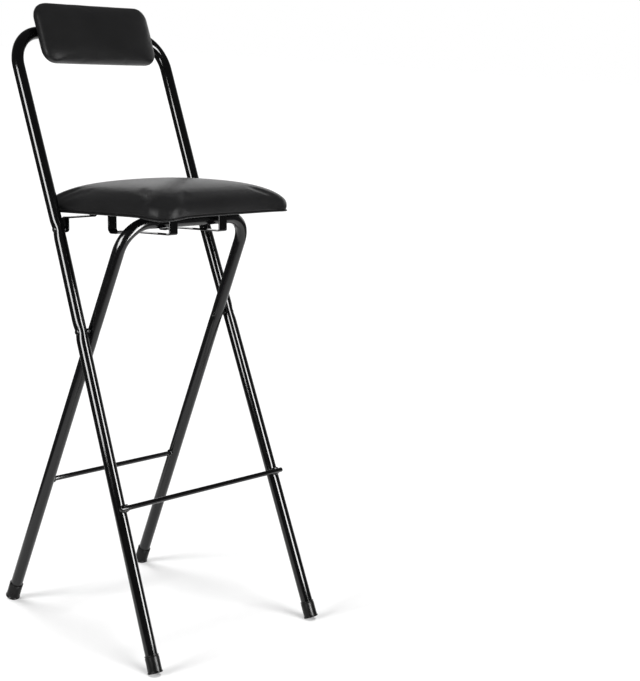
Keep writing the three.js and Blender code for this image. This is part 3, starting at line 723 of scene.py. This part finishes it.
def filled(piece, place, held_below, cap, voxel, pressure=4.0, frames=20):
    """Remeshes a pad evenly, lets cloth pressure swell it for some frames, and turns each point's
    move m into cap * tanh(m / cap). Points that lie lower than held_below stay where they are."""
    bpy.context.view_layer.objects.active = piece
    piece.select_set(True)
    piece.data.remesh_voxel_size = voxel
    bpy.ops.object.voxel_remesh()
    piece.select_set(False)
    before = points_of(piece)
    group = piece.vertex_groups.new(name="held")
    low = np.nonzero(local(before, place)[:, 2] < held_below)[0]
    group.add(low.tolist(), 1.0, "REPLACE")
    cloth = piece.modifiers.new("cloth", "CLOTH")
    cloth.settings.quality = 5
    cloth.settings.use_pressure = True
    cloth.settings.uniform_pressure_force = pressure
    cloth.settings.tension_stiffness = 25
    cloth.settings.compression_stiffness = 25
    cloth.settings.bending_stiffness = 2
    cloth.settings.vertex_group_mass = "held"
    cloth.settings.effector_weights.gravity = 0
    cloth.point_cache.frame_start, cloth.point_cache.frame_end = 1, frames
    scene = bpy.context.scene
    for step in range(1, frames + 1):
        scene.frame_set(step)
    result = piece.evaluated_get(bpy.context.evaluated_depsgraph_get())
    after = np.empty(before.size)
    result.to_mesh().vertices.foreach_get("co", after)
    result.to_mesh_clear()
    piece.modifiers.clear()
    piece.vertex_groups.clear()
    scene.frame_set(1)
    move = after.reshape(-1, 3) - before
    size = np.maximum(np.linalg.norm(move, axis=1, keepdims=True), 1e-9)
    move_points(piece, before + move / size * cap * np.tanh(size / cap))
    print(piece.name, len(before), "points, mean move", round(float(size.mean()) / MM, 1), "mm")


def relaxed(piece, place, held_below, rounds):
    """Each round moves every point half the way to the mean of its neighbours and then a little
    more than half the way back out, which takes the lumps away and keeps the size."""
    spots = points_of(piece)
    count = len(spots)
    ends = np.empty(len(piece.data.edges) * 2, int)
    piece.data.edges.foreach_get("vertices", ends)
    a, b = ends[::2], ends[1::2]
    degree = np.bincount(a, minlength=count) + np.bincount(b, minlength=count)
    free = local(spots, place)[:, 2] >= held_below
    for part in [0.5, -0.52] * rounds:
        total = [
            np.bincount(a, spots[b, d], count) + np.bincount(b, spots[a, d], count)
            for d in range(3)
        ]
        mean = np.stack(total, 1) / degree[:, None]
        spots = spots + np.where(free[:, None], part * (mean - spots), 0)
    move_points(piece, spots)


print("cloth is simulated for both pads")

# %% [markdown]
# ### Gathered corners
# At the seat's front corners there is more cover than corner, so it is pulled into a crease and
# hangs a little below the board. Both are moves of the finished pad's points, because they have
# to lie at one place and be the same each time, which a simulation doesn't promise.

# %% Gathered corners
SEAT_PLAN = (163, 258, 59, 42, 22)  # half width, reach to front and rear, corner radii
SEAT_SAG = 5.5
CREASE = 1.6


def sag(x, y):
    """How far the cover hangs at the front corners: sag * exp(-(d / 34)^2), d from the corner. The
    right one hangs most, and the left one a fifth as much."""
    apex = SEAT_PLAN[3] * (1 - math.sqrt(0.5))
    away = np.hypot(np.abs(x) - (SEAT_PLAN[0] - apex), y + SEAT_PLAN[1] - apex)
    return SEAT_SAG * np.where(x < 0, 1.0, 0.2) * np.exp(-((away / 34) ** 2))


def gathered(piece, place, depth):
    """Lets the front corners hang and creases them: the side moves away from the corner's centre by
    depth * (0.5 e^-((t - 0.5) / 0.32)^2 - e^-((t - 0.5) / 0.09)^2), t from 0 to 1 round the corner,
    and the crease fades with height above the lip."""
    x, y, z = local(points_of(piece), place).T
    drop = sag(x, y) * np.clip(1 - (z - 8) / 45, 0, 1)
    radius = SEAT_PLAN[3]
    u = np.abs(x) - (SEAT_PLAN[0] - radius)
    v = -(y + SEAT_PLAN[1] - radius)
    turn = np.arctan2(np.maximum(u, 0), np.maximum(v, 1e-6)) / (np.pi / 2)
    far = np.clip((np.hypot(u, v) - 0.7 * radius) / (0.25 * radius), 0, 1) * (u > 0) * (v > 0)
    away = np.clip(turn, 0, 1) - 0.5
    push = depth * (0.5 * np.exp(-((away / 0.32) ** 2)) - np.exp(-((away / 0.09) ** 2)))
    push = push * far * np.exp(-((np.maximum(z - 4, 0) / 13) ** 2))
    length = np.maximum(np.hypot(u, v), 1)
    moved = place(x + np.sign(x) * push * u / length, y - push * v / length, z - drop)
    move_points(piece, moved)
    print(piece.name, "hangs", round(float(drop.max()), 1), "mm at the most")


corner_sags = [round(float(sag(side * SEAT_PLAN[0], -SEAT_PLAN[1])), 1) for _, side in SIDES]
print("the seat's front corners hang by", corner_sags, "mm")

# %% [markdown]
# ### Edges of the covers
# Under the seat the turned-under cover makes a thick soft edge. The back of the backrest is a
# panel with a raised bead, pressed flat where the tube crosses it. Both follow the outline of
# their pad, so both are a small section carried round it.

# %% Turned-under edge and back bead
BEAD_ROOM = 0.15  # room left between the bead and the tube


def hem(name, plan, inset, height, thickness, hang, place):
    """The edge where the cover turns under: a circle carried round the outline and let down by
    hang(x, y)."""
    path, tangents = rounded_outline(*plan, inset)
    b = np.linspace(0, 2 * np.pi, 12, endpoint=False)[None, :]
    x, y, z = along(path, tangents, thickness * np.cos(b), thickness * np.sin(b))
    return surface(name, place(x, y, z + height - hang(x, y)), loop_rows=True)


def edge_bead(name, plan, inset, wide, high, place):
    """The raised bead on the back panel, half an oval in section: z = -high * sin b. Its height is
    kept below the gap to the round tube, FIT + R - sqrt(R^2 - y^2), less some room, where the tube
    crosses it."""
    path, tangents = rounded_outline(*plan, inset)
    b = np.linspace(0, 2 * np.pi, 24, endpoint=False)[None, :]
    x, y, up = along(path, tangents, wide / 2 * np.cos(b), np.sin(b))
    gap = FIT + TUBE - np.sqrt(np.maximum(TUBE**2 - y**2, 0)) - BEAD_ROOM
    rise = np.minimum(high, np.where(np.abs(y) < TUBE, gap, high))
    return surface(name, place(x, y, np.where(up > 0, -rise * up, -0.5 * up)), loop_rows=True)


print("under the tube the bead is", round(FIT - BEAD_ROOM, 2), "mm high")

# %% [markdown]
# ### The two cushions
# The seat's cushion has rounder corners in front than at the rear, and its foam makes a high
# crown. The backrest's is thinner and has steeper sides. A level of subdivision then smooths the
# small faces of the remeshed covers.

# %% Seat cushion


def cushion(piece, body, node):
    """Smooths the remeshed cover, and lets the pad stand for a node of the record."""
    smoother = piece.modifiers.new("smoother", "SUBSURF")
    smoother.levels = smoother.render_levels = 1
    on_body(piece, body, node)


on_seat_board = leaning(-SEAT_TILT, on_seat(0, 0, SEAT_BOTTOM) / MM)
seat_pad = pad(
    "seat_pad", SEAT_PLAN, base=1.2, side_height=12, crown=56.3, power=2.35, lip=3,
    place=on_seat_board,
)
filled(seat_pad, on_seat_board, held_below=5, cap=0.003, voxel=0.004)
relaxed(seat_pad, on_seat_board, held_below=1.6, rounds=14)
gathered(seat_pad, on_seat_board, CREASE)
cushion(seat_pad, "seat", "seat_cushion")
seat_hem = hem(
    "seat_hem", SEAT_PLAN, inset=1.6, height=1.9, thickness=1.5, hang=sag, place=on_seat_board
)
on_body(seat_hem, "seat")
print("seat cushion", seat_pad.name, seat_hem.name)

# %% Backrest cushion
BACK_PLAN = (131.7, 65.4, 47.0, 25, 25)
back_pad = pad(
    "back_pad", BACK_PLAN, base=0.8, side_height=9, crown=34, power=2.8, lip=4, place=on_back
)
filled(back_pad, on_back, held_below=4, cap=0.002, voxel=0.003)
relaxed(back_pad, on_back, held_below=1.2, rounds=6)
cushion(back_pad, "front", "backrest_cushion")
back_bead = edge_bead("back_bead", BACK_PLAN, inset=17, wide=8.5, high=2.6, place=on_back)
on_body(back_bead, "front")
print("backrest cushion", back_pad.name, back_bead.name)

# %% [markdown]
# ## Materials
# Colours are written as hex values, as a paint chart gives them, and one function turns them to
# the linear values that Blender works with. One small function adds a node. Patterns read Object
# coordinates, which are metres here, so a scale of 1000 divided by a size in millimetres gives
# features of that size.

# %% Helpers for materials


def linear(hex_colour):
    """sRGB hex to linear RGBA: v / 12.92 up to 0.04045, else ((v + 0.055) / 1.055) ^ 2.4."""
    parts = [int(hex_colour[i : i + 2], 16) / 255 for i in (1, 3, 5)]
    return (*[v / 12.92 if v <= 0.04045 else ((v + 0.055) / 1.055) ** 2.4 for v in parts], 1)


def add(tree, kind, inputs=None, **settings):
    """Adds a node, sets its properties, and sets or links its inputs."""
    node = tree.nodes.new(kind)
    for key, value in settings.items():
        setattr(node, key, value)
    for key, value in (inputs or {}).items():
        if isinstance(value, bpy.types.NodeSocket):
            tree.links.new(value, node.inputs[key])
        else:
            node.inputs[key].default_value = value
    return node


def material(name, metallic=0.0, specular=0.5):
    """A new material: itself, its nodes, its shader and the outlet of Object coordinates."""
    made = bpy.data.materials.new(name)
    made.use_nodes = True
    tree = made.node_tree
    shader = tree.nodes["Principled BSDF"]
    shader.inputs["Metallic"].default_value = metallic
    shader.inputs["Specular IOR Level"].default_value = specular
    return made, tree, shader, add(tree, "ShaderNodeTexCoord").outputs["Object"]


def ramp(tree, value, stops):
    """A colour ramp with the given (position, colour or grey) stops."""
    node = add(tree, "ShaderNodeValToRGB", {"Fac": value})
    while len(node.color_ramp.elements) < len(stops):
        node.color_ramp.elements.new(0.5)
    for element, (position, colour) in zip(node.color_ramp.elements, stops):
        element.position = position
        element.color = linear(colour) if isinstance(colour, str) else (colour, colour, colour, 1)
    return node.outputs["Color"]


def covered(tree, shader, colour, roughness, height=None, strength=0.0, depth_mm=0.2):
    """Links a colour, a roughness and, where one is given, a height as bump to a shader."""
    tree.links.new(colour, shader.inputs["Base Color"])
    tree.links.new(roughness, shader.inputs["Roughness"])
    if height:
        inputs = {"Height": height, "Strength": strength, "Distance": depth_mm * MM}
        bump = add(tree, "ShaderNodeBump", inputs)
        tree.links.new(bump.outputs["Normal"], shader.inputs["Normal"])


print("mid grey #808080 is", round(linear("#808080")[0], 3), "in linear light")

# %% [markdown]
# ### Powder-coated steel
# The tubes are sprayed with black powder and baked. The paint flows into a hard gloss skin with
# a faint orange peel of about 2 mm, which makes reflections waver a little, and fine scuffs show
# as patches that are a shade rougher. The rear frame's copy of the paint is a little rougher, and
# its colour is a shade lighter as painted light, for the paler look the rear legs get from the
# light.
# Paint has an IOR near 1.5, and the specular level is a little lower than that gives, because the
# photograph's mirror images are weaker.

# %% Powder coats
PEEL_MM = 2.0


def powder_coat(name, dark, light, low, high, specular, peel):
    """Black paint: colour and roughness follow broad times fine noise, and bump is orange peel."""
    made, tree, shader, spot = material(name, specular=specular)
    broad, fine, orange = (
        add(tree, "ShaderNodeTexNoise", {"Vector": spot, "Scale": 1000 / size, "Detail": detail})
        for size, detail in ((60, 3), (3, 4), (PEEL_MM, 1))
    )
    both = {0: broad.outputs["Fac"], 1: fine.outputs["Fac"]}
    mixed = add(tree, "ShaderNodeMath", both, operation="MULTIPLY").outputs[0]
    colour = ramp(tree, mixed, [(0.1, dark), (0.5, light)])
    roughness = ramp(tree, mixed, [(0.15, low), (0.45, high)])
    covered(tree, shader, colour, roughness, orange.outputs["Fac"], peel)
    return made


gloss_coat = powder_coat("gloss_black_powder_coat", "#050506", "#0c0c0d", 0.1, 0.17, 0.4, 0.03)
# Painted light: the rear frame's copy is a shade lighter than the front's, for how its legs are lit
satin_coat_painted_lighter = powder_coat("satin_black_powder_coat_painted_lighter", "#08080a", "#121213", 0.13, 0.22, 0.45, 0.06)
print("paints", gloss_coat.name, satin_coat_painted_lighter.name)

# %% [markdown]
# ### Vinyl
# The covers are black polyurethane vinyl on a cloth backing, pressed with a fine hide grain of
# about 1 mm cells. The cells are flat topped with narrow valleys, so the surface is soft and wide
# in its highlights, and the valleys are painted darker as painted shade. The grain is about as
# fine as the picture's dots, so in the picture it only softens the light.

# %% Vinyl
GRAIN_MM = 1.1


def vinyl(name):
    """Grain from the distance to the edges of cells that noise has bent, times fine pores. The
    valleys of the cells are also painted darker in the colour, as painted shade.
    """
    made, tree, shader, spot = material(name)
    wobble, broad, pores = (
        add(tree, "ShaderNodeTexNoise", {"Vector": spot, "Scale": 1000 / size, "Detail": detail})
        for size, detail in ((4, 2), (80, 3), (0.5, 2))
    )
    inputs = {"Fac": 0.0012, "Color1": spot, "Color2": wobble.outputs["Color"]}
    bent = add(tree, "ShaderNodeMixRGB", inputs, blend_type="ADD").outputs[0]
    inputs = {"Vector": bent, "Scale": 1000 / GRAIN_MM}
    cells = add(tree, "ShaderNodeTexVoronoi", inputs, feature="DISTANCE_TO_EDGE")
    tops_and_valley_shade = ramp(tree, cells.outputs["Distance"], [(0.0, 0.0), (0.12, 0.8), (0.3, 1.0)])
    hide = ramp(tree, broad.outputs["Fac"], [(0.3, "#202021"), (0.7, "#272728")])
    # Painted shade: the valleys between the cells darken the colour by up to a quarter
    inputs = {"Fac": 0.25, "Color1": hide, "Color2": tops_and_valley_shade}
    colour = add(tree, "ShaderNodeMixRGB", inputs, blend_type="MULTIPLY").outputs[0]
    roughness = ramp(tree, broad.outputs["Fac"], [(0.3, 0.36), (0.7, 0.42)])
    inputs = {0: tops_and_valley_shade, 1: pores.outputs["Fac"]}
    height = add(tree, "ShaderNodeMath", inputs, operation="MULTIPLY").outputs[0]
    covered(tree, shader, colour, roughness, height, 0.35)
    return made


black_vinyl = vinyl("black_polyurethane_vinyl")
print("cover", black_vinyl.name)

# %% [markdown]
# ### Rubber, board and zinc
# The caps are moulded rubber, dull with a fine spark-eroded texture from the mould. The boards
# are plywood stained black, with a grain that runs from side to side. The three fixings on the
# back are steel with bright zinc plate, which is slightly cloudy.

# %% Rubber, board and zinc


def moulded_rubber(name):
    """Rubber with a fine grit as bump, and dust as patches of colour and roughness."""
    made, tree, shader, spot = material(name, specular=0.22)
    grit, dust = (
        add(tree, "ShaderNodeTexNoise", {"Vector": spot, "Scale": 1000 / size, "Detail": detail})
        for size, detail in ((0.8, 3), (12, 4))
    )
    colour = ramp(tree, dust.outputs["Fac"], [(0.35, "#0a0a0b"), (0.7, "#131313")])
    roughness = ramp(tree, dust.outputs["Fac"], [(0.3, 0.27), (0.7, 0.34)])
    covered(tree, shader, colour, roughness, grit.outputs["Fac"], 0.12)
    return made


def stained_board(name):
    """Plywood whose grain is noise stretched along X to 2.5 mm by some 30 mm."""
    made, tree, shader, spot = material(name, specular=0.3)
    stretched = add(tree, "ShaderNodeMapping", {"Vector": spot, "Scale": (0.08, 1, 1)}).outputs[0]
    inputs = {"Vector": stretched, "Scale": 1000 / 2.5, "Detail": 5}
    grain = add(tree, "ShaderNodeTexNoise", inputs).outputs["Fac"]
    colour = ramp(tree, grain, [(0.3, "#161616"), (0.7, "#242323")])
    covered(tree, shader, colour, ramp(tree, grain, [(0.3, 0.6), (0.7, 0.75)]), grain, 0.25, 0.3)
    return made


def zinc_plate(name):
    """Bright plate: a metal whose colour and roughness follow 3 mm clouds."""
    made, tree, shader, spot = material(name, metallic=1.0)
    inputs = {"Vector": spot, "Scale": 1000 / 3, "Detail": 4}
    cloud = add(tree, "ShaderNodeTexNoise", inputs).outputs["Fac"]
    colour = ramp(tree, cloud, [(0.3, "#b9babb"), (0.7, "#d6d7d8")])
    covered(tree, shader, colour, ramp(tree, cloud, [(0.3, 0.22), (0.7, 0.38)]))
    return made


cap_rubber = moulded_rubber("moulded_black_rubber")
black_board = stained_board("black_stained_plywood")
bright_zinc = zinc_plate("bright_zinc_plate")
print("finishes", cap_rubber.name, black_board.name, bright_zinc.name)

# %% [markdown]
# ### Which piece has which finish
# The record gives each node a slot, which is the name of a finish. A piece takes the slot of the
# node that it stands for. The boards and whatever else shows as it was made in the CAD model get
# their material by the same names.

# %% Give each piece its finish


def dress(piece, finish):
    """Gives a piece or a node one material."""
    piece.data.materials.clear()
    piece.data.materials.append(finish)


on_gloss = [front_tube, front_bar, *hardware, *straps, *fixings]
on_satin = [rear_tube, rear_bar]
for weld in welds:
    (on_satin if "rear" in weld.name else on_gloss).append(weld)
slots = {
    "gloss_paint": (gloss_coat, on_gloss),
    "satin_paint": (satin_coat_painted_lighter, on_satin),
    "cap_rubber": (cap_rubber, caps),
    "bright_zinc": (bright_zinc, bright),
    "black_vinyl": (black_vinyl, [seat_pad, back_pad, seat_hem, back_bead]),
    "black_board": (black_board, []),
}
for slot_name, (finish, pieces) in slots.items():
    for piece in pieces:
        dress(piece, finish)
    print(slot_name, "on", len(pieces), "pieces")
for row in frame["record"]["subparts"]:
    dress(frame["nodes"][row["node"]], slots[row["material_slot"]][0])

# %% [markdown]
# ## Camera
# The view is a three-quarter one from the stool's front right, at the height of its backrest,
# from about three metres with a long lens. Yaw turns the camera about the vertical, pitch tips it
# down and roll tilts it about its own axis, all in radians.

# %% Camera
YAW, PITCH, ROLL = 0.8505, -0.1983, 0.0572
CAMERA_AT = (-1.8803, -2.0385, 1.0926)
SENSOR = 36
AHEAD_ON_FLOOR = (math.sin(YAW), math.cos(YAW), 0)
RIGHT_ON_FLOOR = (math.cos(YAW), -math.sin(YAW), 0)
aim = Vector(AHEAD_ON_FLOOR) * math.cos(PITCH) + Vector((0, 0, math.sin(PITCH)))
level = Vector(RIGHT_ON_FLOOR)
upward = level.cross(aim)
right = math.cos(ROLL) * level + math.sin(ROLL) * upward
top = -math.sin(ROLL) * level + math.cos(ROLL) * upward
camera = in_scene("camera", bpy.data.cameras.new("camera"))
camera.data.sensor_width = SENSOR
camera.data.lens = 1535.8 / 681 * SENSOR  # focal length and picture height, both in pixels
turned = Matrix((right, top, -aim)).transposed().to_4x4()
camera.matrix_world = Matrix.Translation(CAMERA_AT) @ turned
bpy.context.scene.camera = camera
print("lens", round(camera.data.lens, 1), "mm")

# %% [markdown]
# ## Studio
# The stool stands on a strip of white paper that rises behind it, in a studio that is dark on
# all other sides. For the camera all of it is white. Gloss paint mirrors the paper and the dark
# beside it, and that gives each tube its black edges. Light Path nodes tell these rays apart, so
# that neither the white nor the dark changes how much light falls on the stool.

# %% Nodes that tell rays and directions apart
FLOOR_COLOUR = 0.8
FLOOR_LEVEL = 1.12  # what the camera sees of the floor away from all shadows, 1 being white
OVERHEAD, SIDEWAYS, ROOM = 0.5, 0.36, 0.3  # level that each lamp and the world give a floor
DARK_STUDIO = 0.1
# Where the paper fades in or out, in metres ahead of the stool's middle and to its right
PAPER_START, PAPER_LEFT, PAPER_RIGHT = (-0.95, -0.5), (-1.0, -0.6), (1.1, 1.5)
BACKDROP_EDGE = (0.55, 0.75)  # cosine of the bearing from straight ahead
COVE_TOP = (0.2, 0.36)  # sine of the height at which the backdrop ends


def fade(tree, value, start, end, first, last):
    """A smooth step from one value to another."""
    inputs = {"Value": value, "From Min": start, "From Max": end, "To Min": first, "To Max": last}
    return add(tree, "ShaderNodeMapRange", inputs, interpolation_type="SMOOTHSTEP").outputs[0]


def in_sector(tree, direction):
    """1 where the backdrop hangs behind the stool: where cos a = (d . ahead) / |d| is high."""
    inputs = {0: direction, 1: (1, 1, 0)}
    flat = add(tree, "ShaderNodeVectorMath", inputs, operation="MULTIPLY").outputs[0]
    length = add(tree, "ShaderNodeVectorMath", {0: flat}, operation="LENGTH").outputs["Value"]
    ahead = add(tree, "ShaderNodeVectorMath", {0: flat, 1: AHEAD_ON_FLOOR}, operation="DOT_PRODUCT")
    inputs = {0: ahead.outputs["Value"], 1: length}
    cosine = add(tree, "ShaderNodeMath", inputs, operation="DIVIDE").outputs[0]
    return fade(tree, cosine, *BACKDROP_EDGE, 0.0, 1.0)


def on_paper(tree, place):
    """1 on the strip of white paper that comes forward under the stool, with soft edges."""
    ahead, across = (
        add(tree, "ShaderNodeVectorMath", {0: place, 1: way}, operation="DOT_PRODUCT")
        for way in (AHEAD_ON_FLOOR, RIGHT_ON_FLOOR)
    )
    inside = fade(tree, ahead.outputs["Value"], *PAPER_START, 0.0, 1.0)
    for edge, first, last in ((PAPER_LEFT, 0.0, 1.0), (PAPER_RIGHT, 1.0, 0.0)):
        inputs = {0: inside, 1: fade(tree, across.outputs["Value"], *edge, first, last)}
        inside = add(tree, "ShaderNodeMath", inputs, operation="MULTIPLY").outputs[0]
    return inside


def seen_by(tree, white):
    """Two values: 1 for rays of the camera, of reflection and of refraction and 0 for those that
    light; and the white each ray meets, less than 1 for mirrored rays beside the paper."""
    rays = add(tree, "ShaderNodeLightPath").outputs
    inputs = {0: rays["Is Glossy Ray"], 1: rays["Is Transmission Ray"]}
    mirrored = add(tree, "ShaderNodeMath", inputs, operation="ADD").outputs[0]
    inputs = {0: rays["Is Camera Ray"], 1: mirrored}
    seen = add(tree, "ShaderNodeMath", inputs, operation="ADD", use_clamp=True).outputs[0]
    beside = add(tree, "ShaderNodeMath", {0: 1.0, 1: white}, operation="SUBTRACT").outputs[0]
    lost = add(tree, "ShaderNodeMath", {0: mirrored, 1: beside}, operation="MULTIPLY").outputs[0]
    return seen, add(tree, "ShaderNodeMath", {0: 1.0, 1: lost}, operation="SUBTRACT").outputs[0]


missing = max(0.0, FLOOR_LEVEL - FLOOR_COLOUR * (ROOM + OVERHEAD + SIDEWAYS))
print("the lamps leave", round(missing, 3), "of the floor's level to its own glow")

# %% [markdown]
# ### Floor
# A large plain square is enough, because the camera sees white wherever the floor ends. Lamps and
# world light it, and a small glow for the camera and for mirrored rays makes up the rest, so that
# it shows as white with soft shadows.

# %% Floor
REACH = 40.0
floor_mesh = bpy.data.meshes.new("floor")
floor_corners = [(x * REACH, y * REACH, 0) for x, y in ((-1, -1), (1, -1), (1, 1), (-1, 1))]
floor_mesh.from_pydata(floor_corners, [], [(0, 1, 2, 3)])
floor = in_scene("floor", floor_mesh)

floor_paint = bpy.data.materials.new("white_studio_floor")
floor_paint.use_nodes = True
tree = floor_paint.node_tree
diffuse = tree.nodes["Principled BSDF"]
diffuse.inputs["Base Color"].default_value = (FLOOR_COLOUR, FLOOR_COLOUR, FLOOR_COLOUR, 1)
diffuse.inputs["Roughness"].default_value = 0.9
diffuse.inputs["Specular IOR Level"].default_value = 0.0
seen, met = seen_by(tree, on_paper(tree, add(tree, "ShaderNodeTexCoord").outputs["Object"]))
glow = add(tree, "ShaderNodeMath", {0: seen, 1: missing}, operation="MULTIPLY").outputs[0]
light, dark = (
    add(tree, "ShaderNodeEmission", {"Color": (1, 1, 1, 1), "Strength": strength}).outputs[0]
    for strength in (glow, DARK_STUDIO)
)
both = add(tree, "ShaderNodeAddShader", {0: diffuse.outputs[0], 1: light}).outputs[0]
whole = add(tree, "ShaderNodeMixShader", {0: met, 1: dark, 2: both}).outputs[0]
tree.links.new(whole, tree.nodes["Material Output"].inputs["Surface"])
floor.data.materials.append(floor_paint)
print("floor", 2 * REACH, "m wide")

# %% [markdown]
# ### World
# The world lights the room evenly from all round. Seen by the camera or in a mirror it is the
# white backdrop instead, up to the height where the paper ends. Mirrors also see the dark studio
# on both sides of the backdrop.

# %% World
world = bpy.data.worlds.new("studio")
world.use_nodes = True
bpy.context.scene.world = world
tree = world.node_tree
toward = add(tree, "ShaderNodeTexCoord").outputs["Generated"]
height = add(tree, "ShaderNodeSeparateXYZ", {0: toward}).outputs["Z"]
cove = fade(tree, height, *COVE_TOP, 1.0, DARK_STUDIO)
seen, met = seen_by(tree, in_sector(tree, toward))
inputs = {"Factor": met, "A": DARK_STUDIO, "B": cove}
shown = add(tree, "ShaderNodeMix", inputs, data_type="FLOAT").outputs[0]
inputs = {"Factor": seen, "A": ROOM, "B": shown}
strength = add(tree, "ShaderNodeMix", inputs, data_type="FLOAT").outputs[0]
tree.nodes["Background"].inputs["Color"].default_value = (1, 1, 1, 1)
tree.links.new(strength, tree.nodes["Background"].inputs["Strength"])
print("the room lights at", ROOM, "from all round")

# %% [markdown]
# ## Lamps
# Two far lamps light evenly: one overhead, for the soft shadows under the legs, and a low one at
# the side that falls on the floor alone. Light linking chooses what a lamp reaches and what casts
# its shadow. The overhead lamp lights no gloss, because the photograph shows no spot of such a
# lamp on the seat.

# %% Lamps


def lit(name, pieces):
    """A collection of the pieces that a lamp lights or that cast its shadow."""
    made = bpy.data.collections.new(name)
    for piece in pieces:
        made.objects.link(piece)
    return made


def even_lamp(name, level, spread, height, bearing):
    """A far, even lamp at a height and bearing in degrees. A lamp that gives the floor a level L
    at an angle a above it has the strength L * pi / sin a. Legs and bars alone cast its shadow."""
    lamp = bpy.data.lights.new(name, "SUN")
    lamp.energy = level * math.pi / math.sin(math.radians(height))
    lamp.angle = math.radians(spread)
    holder = in_scene(name, lamp)
    holder.rotation_euler = (0, math.radians(height - 90), math.radians(bearing))
    holder.light_linking.blocker_collection = casts_shadow
    print(name, "strength", round(lamp.energy, 2))
    return holder


legs_and_bars = [front_tube, rear_tube, front_bar, rear_bar]
casts_shadow = lit("casts_floor_shadow", legs_and_bars)
overhead = even_lamp("overhead_lamp", OVERHEAD, spread=15, height=90, bearing=0)
overhead.visible_glossy = False
side_lamp = even_lamp("side_lamp_on_floor", SIDEWAYS, spread=26, height=26, bearing=-12)
side_lamp.light_linking.receiver_collection = lit("floor_only", [floor])

# %% [markdown]
# ### Softboxes
# They stand where the real ones show in the gloss: tall ones at the left and in front, whose
# images are the long streaks on each tube, and a wide one behind for the crown of the seat. They
# light gloss only, so every colour keeps the plain level of the room. The vinyl gets a smaller
# share, which was matched to the photograph.

# %% Softboxes
LEFT_RADIANCE, FRONT_RADIANCE, BACK_RADIANCE = 22, 29, 0.9
ON_VINYL = 0.14  # share of a softbox that the vinyl gets


def softbox(name, at, towards, width, height, radiance, receivers, slant=0):
    """A rectangle of light, turned by a slant in degrees, whose power is radiance * area * pi."""
    lamp = bpy.data.lights.new(name, "AREA")
    lamp.shape, lamp.size, lamp.size_y = "RECTANGLE", width, height
    lamp.energy = radiance * width * height * math.pi
    holder = in_scene(name, lamp)
    facing = (Vector(towards) - Vector(at)).to_track_quat("-Z", "Y").to_matrix().to_4x4()
    turn = Matrix.Rotation(math.radians(slant), 4, "Z")
    holder.matrix_world = Matrix.Translation(at) @ facing @ turn
    holder.visible_diffuse = False
    holder.light_linking.receiver_collection = receivers
    print(name, "power", round(lamp.energy, 1), "W")


round_steel = [*legs_and_bars, *caps, *welds, *hardware, *fixings, *bright]
on_round = lit("round_steel_and_caps", round_steel)
on_steel = lit("all_steel_and_caps", [*round_steel, *straps])
on_vinyl = lit("vinyl_pieces", [seat_pad, back_pad, seat_hem, back_bead])
for word, share, on_left, on_front_side in (
    ("gloss", 1.0, on_round, on_steel),
    ("vinyl", ON_VINYL, on_vinyl, on_vinyl),
):
    softbox(
        f"left_softbox_on_{word}", (-1.3, -0.1, 1.0), (0, -0.1, 1.0), 0.56, 0.94,
        LEFT_RADIANCE * share, on_left, slant=26,
    )
    softbox(
        f"front_softbox_on_{word}", (0.07, -0.95, 0.78), (0.07, 0, 0.78), 0.33, 0.96,
        FRONT_RADIANCE * share, on_front_side,
    )
softbox(
    "back_softbox_on_seat", (1.05, 0.95, 1.4), (0, -0.1, 0.75), 1.2, 0.6,
    BACK_RADIANCE, lit("seat_pad_alone", [seat_pad]),
)
bpy.context.scene.view_settings.view_transform = "Standard"

# %% [markdown]
# ## Last update
# The view layer is brought up to date once more.

# %% Finish
bpy.context.view_layer.update()
